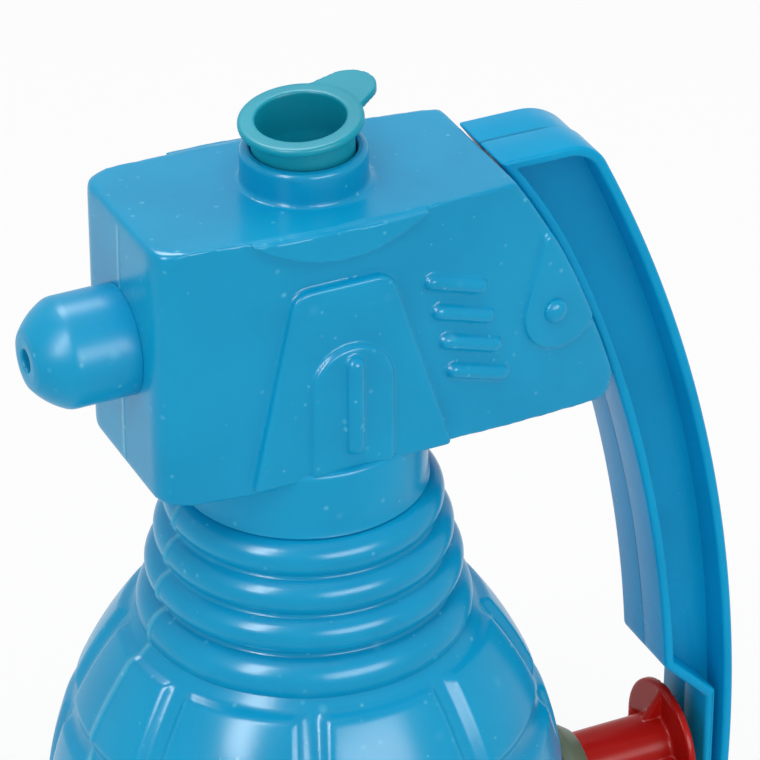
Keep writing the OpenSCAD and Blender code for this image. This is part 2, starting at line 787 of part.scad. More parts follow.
// Pump
piston_r = barrel_bore_r - 2 * run_gap;

// Half section of the plunger, its length from the crown towards the piston
module plunger_section() {
    crown_edge_r = press_r - 0.6;
    crown_r = (pow(crown_edge_r, 2) + pow(press_crown, 2)) / (2 * press_crown);
    rod_l = crown_x - piston_x + piston_l;
    intersection() {
        translate([0, crown_r]) circle(crown_r, $fn = 96);
        square([crown_edge_r, press_crown + press_t / 2]);
    }
    translate([0, press_crown]) square([press_r, press_t]);
    difference() {
        union() {
            translate([0, press_crown]) square([rod_r, rod_l - press_crown]);
            translate([0, rod_l - piston_l]) square([piston_r, piston_l]);
        }
        translate([seal_groove_r, rod_l - piston_l / 2 - seal_w / 2]) square([barrel_r, seal_w]);
    }
}

module plunger() {
    gusset_l = 2.4;
    gusset_t = 1;
    gusset_r = press_r - 0.5;
    color(rod_colour) {
        along_x(crown_x, pump_z) plunger_section();
        for (a = [0 : 90 : 270]) translate([0, 0, pump_z]) rotate([a, 0, 0])
            upright(-gusset_t / 2, gusset_t)
                polygon([[press_x + press_t / 2, rod_r - over], [press_x - gusset_l, rod_r - over],
                    [press_x - gusset_l, rod_r], [press_x, gusset_r], [press_x + press_t / 2, gusset_r]]);
    }
}

module piston_seal() {
    half = seal_w / 2 - seat_gap;
    mid_x = piston_x - piston_l / 2;
    color(rubber_colour)
        difference() {
            rod_x(mid_x - half, mid_x + half, pump_z, barrel_bore_r - run_gap);
            rod_x(mid_x - seal_w, mid_x + seal_w, pump_z, seal_groove_r + seat_gap);
        }
}

// A coil spring along +z, as one tube through rings of six points
coil_rings = 8;
coil_sides = 6;
function coil_mid(i, r, pitch) =
    let (a = i * 360 / coil_rings) [r * cos(a), r * sin(a), pitch * i / coil_rings];
function coil_gap(r, pitch, turns, wire_r) =
    let (last = turns * coil_rings)
    min([for (i = [0 : last], j = [i + coil_rings / 2 : last]) norm(coil_mid(i, r, pitch) - coil_mid(j, r, pitch))])
        - 2 * wire_r;

module coil(r, length, turns, wire_r) {
    pitch = (length - 2 * wire_r) / turns;
    last = turns * coil_rings;
    points = [for (i = [0 : last], k = [0 : coil_sides - 1])
        let (a = i * 360 / coil_rings, t = k * 360 / coil_sides)
        coil_mid(i, r, pitch) + [0, 0, wire_r]
            + wire_r * [cos(t) * cos(a), cos(t) * sin(a), sin(t)]];
    sides = [for (i = [0 : last - 1], k = [0 : coil_sides - 1])
        let (a = i * coil_sides + k, b = i * coil_sides + (k + 1) % coil_sides)
        each [[a, a + coil_sides, b], [b, a + coil_sides, b + coil_sides]]];
    end = last * coil_sides;
    caps = [for (k = [1 : coil_sides - 2])
        each [[0, k, k + 1], [end, end + k + 1, end + k]]];
    polyhedron(points, concat(sides, caps));
    echo(str("least gap of the coil to itself: ", coil_gap(r, pitch, turns, wire_r), " mm"));
}

return_spring_l = piston_x - piston_l - barrel_end_x - 2 * move_gap;

module return_spring() {
    color(steel_colour)
        translate([barrel_end_x + move_gap, 0, pump_z]) rotate([0, 90, 0])
            coil(spring_r, return_spring_l, spring_turns, spring_wire_r);
}

module pump_barrel() {
    color(milky_colour)
        difference() {
            union() {
                rod_x(barrel_end_x - valve_plug_l, cap_x, pump_z, barrel_r);
                rod_x(flange_x, cap_x, pump_z, barrel_flange_r);
            }
            rod_x(barrel_end_x - valve_plug_l - over, cap_x + over, pump_z, barrel_bore_r);
        }
}

module barrel_cap() {
    shoulder = 0.4;
    color(milky_colour)
        difference() {
            union() {
                rod_x(cap_x - cap_depth, cap_x, pump_z, barrel_bore_r - seat_gap);
                rod_x(cap_x, cap_x + shoulder, pump_z, barrel_flange_r - 0.4);
                translate([cap_x + shoulder, 0, pump_z]) rotate([0, 90, 0])
                    cylinder(h = cap_nose_l - shoulder, r1 = barrel_flange_r - 0.4, r2 = cap_tip_r);
            }
            rod_x(cap_x - cap_depth - over, cap_x + cap_nose_l + over, pump_z, rod_r + run_gap);
        }
}

module barrel_gasket() {
    color(rubber_colour)
        difference() {
            rod_x(pad_x, flange_x, pump_z, barrel_flange_r + 0.3);
            rod_x(pad_x - over, flange_x + over, pump_z, barrel_r + seat_gap);
        }
}

// Valves
module valve_body() {
    body_r = barrel_r - 0.1;
    slot_t = 0.9;
    slot_h = chamber_r * 1.6;              // keeps the lifted inlet ball from closing the way
    color(milky_colour)
        difference() {
            union() {
                rod_x(valve_plug_x - over, barrel_end_x, pump_z, barrel_bore_r - seat_gap);
                rod_x(valve_end_x, valve_plug_x - seat_gap, pump_z, body_r);
            }
            rod_x(valve_end_x - over, inlet_end_x, inlet_z, chamber_r);
            rod_x(valve_end_x, barrel_end_x + over, inlet_z, seat_r);
            translate([inlet_end_x - over, -slot_t / 2, inlet_z - slot_h / 2])
                cube([barrel_end_x - inlet_end_x + 2 * over, slot_t, slot_h]);
            rod_x(valve_end_x - over, outlet_seat_x, outlet_z, chamber_r);
            rod_x(valve_end_x, barrel_end_x + over, outlet_z, seat_r);
        }
}

module valve_cap(z, bore_r) {
    color(milky_colour)
        difference() {
            union() {
                rod_x(valve_end_x - over / 2, valve_end_x + cap_plug_l, z, chamber_r - seat_gap);
                rod_x(nipple_x, valve_end_x, z, cap_flange_r);
                rod_x(nipple_x - nipple_l, nipple_x, z, tube_bore_r - seat_gap);
            }
            rod_x(nipple_x - nipple_l - over, valve_end_x + cap_plug_l / 2, z, nipple_bore_r);
            rod_x(valve_end_x, valve_end_x + cap_plug_l + over, z, bore_r);
        }
}

module inlet_cap() {
    valve_cap(inlet_z, seat_r);
}

module outlet_cap() {
    valve_cap(outlet_z, nipple_bore_r);
}

module inlet_ball() {
    color(steel_colour) translate([inlet_ball_x, 0, inlet_z]) sphere(ball_r);
}

module outlet_ball() {
    color(steel_colour) translate([outlet_ball_x, 0, outlet_z]) sphere(ball_r);
}

outlet_spring_r = 1.25;
outlet_wire_r = 0.15;
outlet_spring_x = valve_end_x + cap_plug_l + ball_gap;
outlet_ball_back = sqrt(pow(ball_r, 2) - pow(outlet_spring_r - outlet_wire_r, 2));
outlet_spring_l = outlet_ball_x - outlet_ball_back - 2 * ball_gap - outlet_spring_x;

module outlet_spring() {
    color(steel_colour)
        translate([outlet_spring_x, 0, outlet_z]) rotate([0, 90, 0])
            coil(outlet_spring_r, outlet_spring_l, 2, outlet_wire_r);
}

// Tubes: a straight run from the valve, a bend, and an upright run
module bend_y(x, z, bend_r, from_deg, r) {
    translate([x, 0, z]) rotate([90, 0, 0]) rotate([0, 0, from_deg])
        rotate_extrude(angle = 90) translate([bend_r, 0]) circle(r);
}

module dip_run(r, past) {
    rod_x(bend_x, tube_end_x + past, inlet_z, r);
    bend_y(bend_x, inlet_z - bend_r, bend_r, 90, r);
    translate([tube_x, 0, strainer_z + wall - past])
        cylinder(h = inlet_z - bend_r - strainer_z - wall + past, r = r);
}

module dip_tube() {
    color(milky_colour)
        difference() {
            dip_run(tube_r, 0);
            dip_run(tube_bore_r, over);
        }
}

module intake_strainer() {
    slot_t = 0.9;
    color(rod_colour)
        difference() {
            translate([tube_x, 0, strainer_z]) cylinder(h = strainer_h, r = strainer_r);
            translate([tube_x, 0, strainer_z + wall]) cylinder(h = strainer_h, r = tube_r + seat_gap);
            translate([tube_x, 0, strainer_z - over]) cylinder(h = strainer_h, r = tube_bore_r);
            for (a = [0, 90]) translate([tube_x, 0, strainer_z]) rotate([0, 0, a])
                translate([-strainer_r - over, -slot_t / 2, -over])
                    cube([2 * strainer_r + 2 * over, slot_t, wall / 2 + over]);
        }
}

module delivery_run(r, past) {
    rod_x(bend_x, tube_end_x + past, outlet_z, r);
    bend_y(bend_x, outlet_z + bend_r, bend_r, 180, r);
    low = outlet_z + bend_r;
    high = nozzle_z - head_bend_r;
    translate([tube_x, 0, low]) cylinder(h = high - low, r = r);
    bend_y(tube_x - head_bend_r, high, head_bend_r, 0, r);
    rod_x(spigot_end_x + 0.3 - past, tube_x - head_bend_r, nozzle_z, r);
}

module delivery_tube() {
    color(milky_colour)
        difference() {
            delivery_run(tube_r, 0);
            delivery_run(tube_bore_r, over);
        }
}

bottle();
nozzle_tip();
nozzle_ferrule();
filler_plug();
lever();
pivot_pin();
plunger();
piston_seal();
return_spring();
pump_barrel();
barrel_cap();
barrel_gasket();
valve_body();
inlet_cap();
inlet_ball();
outlet_ball();
outlet_spring();
outlet_cap();
dip_tube();
intake_strainer();
delivery_tube();
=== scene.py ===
import bpy
import math
from mathutils import Matrix, Vector


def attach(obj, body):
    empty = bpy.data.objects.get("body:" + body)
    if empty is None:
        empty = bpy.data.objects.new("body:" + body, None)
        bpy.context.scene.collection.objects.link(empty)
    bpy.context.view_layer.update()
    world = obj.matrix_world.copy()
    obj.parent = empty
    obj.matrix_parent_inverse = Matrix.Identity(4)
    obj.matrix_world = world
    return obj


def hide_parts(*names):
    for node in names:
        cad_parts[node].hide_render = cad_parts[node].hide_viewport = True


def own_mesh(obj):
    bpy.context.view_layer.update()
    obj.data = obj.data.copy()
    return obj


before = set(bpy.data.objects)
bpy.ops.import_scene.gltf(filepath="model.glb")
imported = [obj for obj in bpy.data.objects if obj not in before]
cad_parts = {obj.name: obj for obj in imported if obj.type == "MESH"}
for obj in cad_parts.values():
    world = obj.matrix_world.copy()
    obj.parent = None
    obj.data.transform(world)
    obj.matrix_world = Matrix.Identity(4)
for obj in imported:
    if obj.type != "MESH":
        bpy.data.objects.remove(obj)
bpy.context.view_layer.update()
print("frame loaded:", len(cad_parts), "nodes")

mm = 0.001


# small helpers for working on one piece at a time

def pickOnly(piece):
    if bpy.context.mode != "OBJECT":
        bpy.ops.object.mode_set(mode="OBJECT")
    bpy.ops.object.select_all(action="DESELECT")
    if piece:
        piece.select_set(True)
        bpy.context.view_layer.objects.active = piece


def editAll():
    bpy.ops.object.mode_set(mode="EDIT")
    bpy.ops.mesh.select_all(action="SELECT")


def tidyMesh(piece, merge=1e-6):
    pickOnly(piece)
    editAll()
    bpy.ops.mesh.remove_doubles(threshold=merge)
    bpy.ops.mesh.delete_loose(use_verts=True, use_edges=True, use_faces=False)
    bpy.ops.mesh.select_all(action="SELECT")
    bpy.ops.mesh.normals_make_consistent(inside=False)
    bpy.ops.object.mode_set(mode="OBJECT")


def startOutline(name, points, filled):
    pickOnly(None)
    fill = "NGON" if filled else "NOTHING"
    bpy.ops.mesh.primitive_circle_add(vertices=len(points), radius=0.01, fill_type=fill)
    piece = bpy.context.active_object
    piece.name = name
    for vertex, point in zip(piece.data.vertices, points):
        vertex.co = point
    return piece


# an outline of (radius, length) in mm, spun round the axis through at
def turned(name, outline, at, along, steps=96):
    at = Vector(at) * mm
    along = Vector(along).normalized()
    out = along.orthogonal().normalized()
    piece = startOutline(name, [at + out * r * mm + along * h * mm for r, h in outline], False)
    editAll()
    bpy.ops.mesh.spin(steps=steps, angle=2 * math.pi, center=at, axis=along)
    tidyMesh(piece)
    return piece


# an outline of (x, z) in mm, pulled out along y
def plate(name, outline, y0, y1):
    piece = startOutline(name, [Vector((x, y0, z)) * mm for x, z in outline], True)
    editAll()
    bpy.ops.mesh.extrude_region_move(TRANSFORM_OT_translate={"value": (0, (y1 - y0) * mm, 0)})
    tidyMesh(piece)
    return piece


def addModifier(piece, kind, **values):
    pickOnly(piece)
    modifier = piece.modifiers.new(kind.lower(), kind)
    for key, value in values.items():
        setattr(modifier, key, value)
    bpy.ops.object.modifier_apply(modifier=modifier.name)


def bevelEdges(piece, width, segments, angle, **more):
    addModifier(piece, "BEVEL", width=width * mm, segments=segments, limit_method="ANGLE",
                angle_limit=math.radians(angle), **more)


def cutWith(piece, tool, operation="DIFFERENCE"):
    addModifier(piece, "BOOLEAN", object=tool, operation=operation, solver="EXACT")
    bpy.data.objects.remove(tool)


def joinAll(name, parts):
    pickOnly(None)
    for part in parts:
        part.select_set(True)
    bpy.context.view_layer.objects.active = parts[0]
    bpy.ops.object.join()
    piece = bpy.context.active_object
    piece.name = name
    return piece


# overlapping closed shapes become one soft moulded skin
def moulded(piece, voxel, passes):
    pickOnly(piece)
    piece.data.remesh_voxel_size = voxel * mm
    piece.data.remesh_voxel_adaptivity = 0
    bpy.ops.object.voxel_remesh()
    addModifier(piece, "SMOOTH", factor=0.5, iterations=passes)


def turnMesh(piece, angle, axis):
    piece.data.transform(Matrix.Rotation(angle, 4, axis))


def moveMesh(piece, x, z):
    piece.data.transform(Matrix.Translation((x * mm, 0, z * mm)))


def mirrored(piece):
    twin = piece.copy()
    twin.data = piece.data.copy()
    bpy.context.collection.objects.link(twin)
    twin.data.transform(Matrix.Scale(-1, 4, (0, 1, 0)))
    tidyMesh(twin)
    return twin


def finishPiece(piece, material, body, nodes, angle=40):
    pickOnly(piece)
    bpy.ops.object.shade_smooth_by_angle(angle=math.radians(angle))
    piece.data.materials.clear()
    piece.data.materials.append(material)
    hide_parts(*nodes)
    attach(piece, body)
    print("piece made:", piece.name, len(piece.data.polygons), "faces")


# corners (a, b, rounding) of an outline, eased into curves that take up to half of an edge
def eased(corners, steps=5, most=0.49):
    points = []
    for i, (a, b, rounding) in enumerate(corners):
        here = Vector((a, b))
        if not rounding:
            points.append((a, b))
            continue
        before = Vector(corners[i - 1][:2]) - here
        after = Vector(corners[(i + 1) % len(corners)][:2]) - here
        start = here + before.normalized() * min(rounding, before.length * most)
        end = here + after.normalized() * min(rounding, after.length * most)
        for k in range(steps + 1):
            t = k / steps
            points.append(tuple(start * (1 - t) ** 2 + here * 2 * t * (1 - t) + end * t ** 2))
    return points


def arcPoints(centre, radius, fromDeg, toDeg, steps):
    angles = [math.radians(fromDeg + (toDeg - fromDeg) * k / steps) for k in range(steps + 1)]
    return [(centre[0] + radius * math.cos(a), centre[1] + radius * math.sin(a)) for a in angles]


# outline round two discs and the strip between them
def stripOutline(a, ra, b, rb, steps=16):
    turn = math.degrees(math.atan2(b[1] - a[1], b[0] - a[0]))
    opening = math.degrees(math.acos((ra - rb) / math.dist(a, b)))
    return (arcPoints(b, rb, turn - opening, turn + opening, steps)
            + arcPoints(a, ra, turn + opening, turn + 360 - opening, steps))


def capsule(name, at, along, length, radius):
    turns = [math.radians(d) for d in range(0, 91, 15)]
    half = [(radius * math.sin(a), radius * (1 - math.cos(a))) for a in turns]
    outline = half + [(r, length - h) for r, h in reversed(half)]
    return turned(name, outline, at, along, 24)


# surface effects shared by the plastics: scales are per metre, dot sizes are shares of a cell

moulding = {"leastDot": 0.2, "leastStrength": 0.25, "smallFleck": (500, 0.24), "largeFleck": (170, 0.19),
            "largeDepth": 0.5, "speck": (130, 0.03), "speckDepth": 0.85, "cloud": (55, 3.0),
            "cloudRange": (0.3, 0.7), "peel": (420, 2.0), "peelHeight": 0.3, "wave": (95, 1.0),
            "waveHeight": 1.3, "fleckHeight": 0.12, "wearRough": 0.2, "bumpDistance": 0.0003,
            "seamNoise": (60, 1.0), "seamSway": 0.0007, "glowRadius": (0.002, 0.003, 0.004), "glowScale": 0.5,
            "nearScuff": {"turn": (0.3, 0.9, 0.5), "stretch": (0.1, 1.0, 1.0), "dot": (430, 0.07, 0.5)},
            "farScuff": {"turn": (0.7, -0.4, 1.3), "stretch": (0.08, 1.0, 1.0), "dot": (380, 0.06, 0.4)}}


def newGroup(name, inputs, outputs):
    group = bpy.data.node_groups.new(name, "ShaderNodeTree")
    for socket, value in inputs:
        made = group.interface.new_socket(name=socket, in_out="INPUT", socket_type="NodeSocketFloat")
        made.default_value = value
    for socket in outputs:
        group.interface.new_socket(name=socket, in_out="OUTPUT", socket_type="NodeSocketFloat")
    return group, group.nodes.new("NodeGroupInput"), group.nodes.new("NodeGroupOutput")


# a number or a colour is set in the socket, another node's output is linked to it
def feed(tree, value, socket):
    if isinstance(value, (int, float, list)):
        socket.default_value = value
    else:
        tree.links.new(value, socket)


def mathNode(tree, operation, *values):
    node = tree.nodes.new("ShaderNodeMath")
    node.operation = operation
    for i, value in enumerate(values):
        feed(tree, value, node.inputs[i])
    return node.outputs[0]


def rangeNode(tree, value, low, high, toLow, toHigh):
    node = tree.nodes.new("ShaderNodeMapRange")
    node.interpolation_type = "SMOOTHSTEP"
    tree.links.new(value, node.inputs["Value"])
    for socket, number in (("From Min", low), ("From Max", high), ("To Min", toLow), ("To Max", toHigh)):
        feed(tree, number, node.inputs[socket])
    return node.outputs["Result"]


def noiseNode(tree, coord, scale, detail):
    node = tree.nodes.new("ShaderNodeTexNoise")
    node.inputs["Scale"].default_value = scale
    node.inputs["Detail"].default_value = detail
    tree.links.new(coord, node.inputs["Vector"])
    return node.outputs[0]


# dots in the cells of a cell pattern: some cells only, each with its own size and strength
def dotNode(tree, coord, scale, size, share):
    cells = tree.nodes.new("ShaderNodeTexVoronoi")
    cells.inputs["Scale"].default_value = scale
    tree.links.new(coord, cells.inputs["Vector"])
    parts = tree.nodes.new("ShaderNodeSeparateColor")
    tree.links.new(cells.outputs["Color"], parts.inputs[0])
    least, faint = moulding["leastDot"], moulding["leastStrength"]
    spread = mathNode(tree, "MULTIPLY_ADD", parts.outputs[1], 1 - least, least)
    reach = mathNode(tree, "MULTIPLY", spread, size)
    dot = rangeNode(tree, cells.outputs["Distance"], 0.0, reach, 1.0, 0.0)
    chosen = mathNode(tree, "LESS_THAN", parts.outputs[0], share)
    strength = mathNode(tree, "MULTIPLY_ADD", parts.outputs[2], 1 - faint, faint)
    return mathNode(tree, "MULTIPLY", mathNode(tree, "MULTIPLY", dot, chosen), strength)


def turnedCoord(tree, coord, turn, stretch):
    mapping = tree.nodes.new("ShaderNodeMapping")
    mapping.inputs["Rotation"].default_value = turn
    mapping.inputs["Scale"].default_value = stretch
    tree.links.new(coord, mapping.inputs["Vector"])
    return mapping.outputs[0]


def makeMouldMarks():
    inputs = [("Fleck Share", 0.3), ("Speck Share", 0.1), ("Scuff", 0.3)]
    group, given, result = newGroup("mouldMarks", inputs, ["Flecks", "Specks", "Clouds", "Height", "Wear"])
    coord = group.nodes.new("ShaderNodeTexCoord").outputs["Object"]

    def scuffs(kind):
        return dotNode(group, turnedCoord(group, coord, kind["turn"], kind["stretch"]), *kind["dot"])

    small = dotNode(group, coord, *moulding["smallFleck"], given.outputs["Fleck Share"])
    large = dotNode(group, coord, *moulding["largeFleck"], given.outputs["Fleck Share"])
    flecks = mathNode(group, "MAXIMUM", small, mathNode(group, "MULTIPLY", large, moulding["largeDepth"]))
    specks = dotNode(group, coord, *moulding["speck"], given.outputs["Speck Share"])
    clouds = noiseNode(group, coord, *moulding["cloud"])
    wear = mathNode(group, "MAXIMUM", scuffs(moulding["nearScuff"]), scuffs(moulding["farScuff"]))
    wear = mathNode(group, "MULTIPLY", wear, given.outputs["Scuff"])
    peel = mathNode(group, "MULTIPLY", noiseNode(group, coord, *moulding["peel"]), moulding["peelHeight"])
    wave = mathNode(group, "MULTIPLY", noiseNode(group, coord, *moulding["wave"]), moulding["waveHeight"])
    raised = mathNode(group, "MULTIPLY", flecks, moulding["fleckHeight"])
    height = mathNode(group, "ADD", mathNode(group, "ADD", peel, wave), raised)
    made = {"Flecks": flecks, "Specks": specks, "Clouds": clouds, "Height": height, "Wear": wear}
    for socket, value in made.items():
        group.links.new(value, result.inputs[socket])
    return group


# thin raised line left by the two mould halves, in the plane y = 0, up to a height and a depth
def makeMouldSeam():
    inputs = [("Width", 0.0004), ("Up To Z", 1.0), ("Up To X", 1.0)]
    group, given, result = newGroup("mouldSeam", inputs, ["Ridge"])
    coord = group.nodes.new("ShaderNodeTexCoord").outputs["Object"]
    parts = group.nodes.new("ShaderNodeSeparateXYZ")
    group.links.new(coord, parts.inputs[0])
    sway, noise = moulding["seamSway"], noiseNode(group, coord, *moulding["seamNoise"])
    waver = mathNode(group, "MULTIPLY_ADD", noise, sway, -sway / 2)
    aside = mathNode(group, "ABSOLUTE", mathNode(group, "ADD", parts.outputs[1], waver))
    ridge = rangeNode(group, aside, 0.0, given.outputs["Width"], 1.0, 0.0)
    below = mathNode(group, "LESS_THAN", parts.outputs[2], given.outputs["Up To Z"])
    before = mathNode(group, "LESS_THAN", parts.outputs[0], given.outputs["Up To X"])
    shown = mathNode(group, "MULTIPLY", below, before)
    group.links.new(mathNode(group, "MULTIPLY", ridge, shown), result.inputs["Ridge"])
    return group


mouldMarks = makeMouldMarks()
mouldSeam = makeMouldSeam()


def linear(red, green, blue):
    parts = [c / 255 for c in (red, green, blue)]
    return [c / 12.92 if c <= 0.04045 else ((c + 0.055) / 1.055) ** 2.4 for c in parts] + [1.0]


def mixColour(tree, factor, first, second):
    node = tree.nodes.new("ShaderNodeMix")
    node.data_type = "RGBA"
    tree.links.new(factor, node.inputs[0])
    feed(tree, first, node.inputs[6])
    feed(tree, second, node.inputs[7])
    return node.outputs[2]


def newMaterial(name):
    material = bpy.data.materials.new(name)
    material.use_nodes = True
    tree = material.node_tree
    return material, tree, tree.nodes["Principled BSDF"]


def makePlastic(name, look):
    material, tree, shader = newMaterial(name)
    marks = tree.nodes.new("ShaderNodeGroup")
    marks.node_tree = mouldMarks
    for socket, key in (("Fleck Share", "flecks"), ("Speck Share", "specks"), ("Scuff", "scuff")):
        marks.inputs[socket].default_value = look[key]
    shade = rangeNode(tree, marks.outputs["Clouds"], *moulding["cloudRange"], 0.0, 1.0)
    colour = mixColour(tree, shade, linear(*look["deep"]), linear(*look["base"]))
    pale = mathNode(tree, "MULTIPLY", marks.outputs["Flecks"], look["fleckDepth"])
    colour = mixColour(tree, pale, colour, linear(*look["pale"]))
    colour = mixColour(tree, marks.outputs["Wear"], colour, linear(*look["pale"]))
    dark = mathNode(tree, "MULTIPLY", marks.outputs["Specks"], moulding["speckDepth"])
    colour = mixColour(tree, dark, colour, linear(*look["dark"]))
    height = marks.outputs["Height"]
    if look.get("seam"):
        seam = tree.nodes.new("ShaderNodeGroup")
        seam.node_tree = mouldSeam
        for socket, key in (("Width", "seam"), ("Up To Z", "seamTop"), ("Up To X", "seamBack")):
            seam.inputs[socket].default_value = look[key]
        # the seam is bumped as a real raised line and is also tinted: this tint is painted light, a painted
        # highlight along the bottle's seam and painted shade along the lever's seam
        paintedSeamLight = mathNode(tree, "MULTIPLY", seam.outputs["Ridge"], look["seamPaintedLight"])
        colour = mixColour(tree, paintedSeamLight, colour, linear(*look["seamPaintedLightColour"]))
        ridge = mathNode(tree, "MULTIPLY", seam.outputs["Ridge"], look["seamHeight"])
        height = mathNode(tree, "ADD", height, ridge)
    tree.links.new(colour, shader.inputs["Base Color"])
    vary = look["roughVary"]
    rough = mathNode(tree, "MULTIPLY_ADD", marks.outputs["Clouds"], vary, look["rough"] - vary / 2)
    rough = mathNode(tree, "MULTIPLY_ADD", marks.outputs["Wear"], moulding["wearRough"], rough)
    tree.links.new(rough, shader.inputs["Roughness"])
    bump = tree.nodes.new("ShaderNodeBump")
    bump.inputs["Strength"].default_value = look["bump"]
    bump.inputs["Distance"].default_value = moulding["bumpDistance"]
    tree.links.new(height, bump.inputs["Height"])
    tree.links.new(bump.outputs["Normal"], shader.inputs["Normal"])
    shader.inputs["Specular IOR Level"].default_value = look["shine"]
    shader.inputs["Subsurface Weight"].default_value = look.get("glow", 0.0)
    shader.inputs["Subsurface Radius"].default_value = moulding["glowRadius"]
    shader.inputs["Subsurface Scale"].default_value = moulding["glowScale"]
    return material


# the bottle's seam tint towards the pale colour is a painted highlight along the raised seam
bottleLook = {"base": (8, 156, 203), "deep": (4, 146, 193), "pale": (110, 200, 226), "dark": (20, 60, 70),
              "flecks": 0.9, "fleckDepth": 0.75, "specks": 0.16, "scuff": 0.45, "rough": 0.23,
              "roughVary": 0.12, "bump": 0.16, "shine": 0.16, "glow": 0.05, "seam": 0.0006, "seamTop": 0.1222,
              "seamBack": -0.013, "seamHeight": 3.6, "seamPaintedLight": 0.42, "seamPaintedLightColour": (110, 200, 226)}
nozzleLook = dict(bottleLook, rough=0.33, seam=0)
# the lever's seam tint towards dark blue is painted shade along the seam line
leverLook = {"base": (4, 160, 210), "deep": (2, 152, 202), "pale": (80, 176, 214), "dark": (10, 50, 70),
             "flecks": 0.25, "fleckDepth": 0.4, "specks": 0.04, "scuff": 0.2, "rough": 0.26, "roughVary": 0.1,
             "bump": 0.12, "shine": 0.08, "glow": 0.04, "seam": 0.00028, "seamTop": 1.0, "seamBack": 1.0,
             "seamHeight": 0.5, "seamPaintedLight": 0.6, "seamPaintedLightColour": (2, 96, 144)}
plugLook = {"base": (8, 158, 181), "deep": (4, 146, 169), "pale": (96, 190, 200), "dark": (8, 60, 70),
            "flecks": 0.4, "fleckDepth": 0.45, "specks": 0.04, "scuff": 0.25, "rough": 0.38,
            "roughVary": 0.12, "bump": 0.2, "shine": 0.16, "glow": 0.06}
rodLook = {"base": (188, 22, 14), "deep": (168, 16, 10), "pale": (214, 96, 84), "dark": (60, 10, 10),
           "flecks": 0.25, "fleckDepth": 0.35, "specks": 0.05, "scuff": 0.3, "rough": 0.26, "roughVary": 0.12,
           "bump": 0.18, "shine": 0.1, "glow": 0.05}
# the milky plastic is darkened well below its own pale colour: painted shade for the collar, which sits in
# shade between the bulb and the rod
milkyPaintedShadeLook = {"base": (108, 120, 99), "deep": (82, 94, 75), "pale": (180, 186, 170), "dark": (60, 66, 54),
             "flecks": 0.3, "fleckDepth": 0.4, "specks": 0.05, "scuff": 0.3, "rough": 0.36, "roughVary": 0.12,
             "bump": 0.1, "shine": 0.2, "glow": 0.1}
tubeLook = dict(milkyPaintedShadeLook, base=(206, 212, 206), deep=(190, 198, 192), pale=(228, 232, 226), rough=0.3)
rubberLook = {"base": (58, 74, 56), "deep": (46, 60, 46), "pale": (116, 126, 108), "dark": (20, 26, 20),
              "flecks": 0.3, "fleckDepth": 0.35, "specks": 0.08, "scuff": 0.3, "rough": 0.55,
              "roughVary": 0.2, "bump": 0.25, "shine": 0.3}

bottlePlastic = makePlastic("bottlePlastic", bottleLook)
nozzlePlastic = makePlastic("nozzlePlastic", nozzleLook)
leverPlastic = makePlastic("leverPlastic", leverLook)
plugPlastic = makePlastic("plugPlastic", plugLook)
rodPlastic = makePlastic("rodPlastic", rodLook)
milkyPaintedShadePlastic = makePlastic("milkyPaintedShadePlastic", milkyPaintedShadeLook)
tubePlastic = makePlastic("tubePlastic", tubeLook)
sealRubber = makePlastic("sealRubber", rubberLook)


steel = {"bright": (196, 198, 200), "stained": (170, 168, 164), "drawn": (2500, 2.0), "stain": (240, 3.0),
         "stainRange": (0.45, 0.65), "rough": 0.15, "roughVary": 0.25}


def makeSpringSteel():
    material, tree, shader = newMaterial("springSteel")
    coord = tree.nodes.new("ShaderNodeTexCoord").outputs["Object"]
    drawn = noiseNode(tree, coord, *steel["drawn"])
    stain = rangeNode(tree, noiseNode(tree, coord, *steel["stain"]), *steel["stainRange"], 0.0, 1.0)
    colour = mixColour(tree, stain, linear(*steel["bright"]), linear(*steel["stained"]))
    tree.links.new(colour, shader.inputs["Base Color"])
    rough = mathNode(tree, "MULTIPLY_ADD", drawn, steel["roughVary"], steel["rough"])
    tree.links.new(rough, shader.inputs["Roughness"])
    shader.inputs["Metallic"].default_value = 1.0
    return material


springSteel = makeSpringSteel()
print("materials made")


# bulb, rings and neck: one spun skin with soft grooves between the panels

bulb = {"radius": 32, "midHeight": 34, "arcRadius": 50, "arcStepDeg": 0.5, "spinSteps": 288, "heel": 2.5,
        "footRadii": (0, 6, 12, 16), "panelTopDeg": 38.3, "rowDeg": 17.7, "rows": 4, "panels": 8,
        "grooveFlat": 0.6, "grooveTop": 2.3, "grooveDepth": 0.9, "grooveLow": 2, "seamProud": 0.24,
        "seamReach": 0.01, "ringCount": 4, "ringTube": 2.4, "ringPitch": 4.55, "ringGrow": 1.18,
        "ringProud": 1.95, "ringSeat": 0.35, "ringFillet": 0.45, "ringTopDeg": 82, "lastTube": 3.2,
        "lastDrop": 1.2, "lastLowDeg": -25, "neckRadius": 14.7, "neckCrease": ((0.2, 0.1), (0, 0.6)),
        "neckStart": 1.5, "neckTop": 92.289, "neckEdge": 0.9}
bulb["arcX"] = bulb["radius"] - bulb["arcRadius"]
bulb["panelTop"] = bulb["midHeight"] + bulb["arcRadius"] * math.sin(math.radians(bulb["panelTopDeg"]))
bulb["neckFoot"] = (bulb["panelTop"] + 2 * bulb["ringTube"] + (bulb["ringCount"] - 1) * bulb["ringPitch"]
                    + bulb["ringSeat"])


def grooveShape(aside):
    t = (bulb["grooveTop"] - abs(aside)) / (bulb["grooveTop"] - bulb["grooveFlat"])
    t = min(max(t, 0), 1)
    return bulb["grooveDepth"] * t * t * (3 - 2 * t)


def levelGroove(deg):
    rows = [bulb["panelTopDeg"] - row * bulb["rowDeg"] for row in range(bulb["rows"] + 1)]
    return max(grooveShape(math.radians(deg - row) * bulb["arcRadius"]) for row in rows)


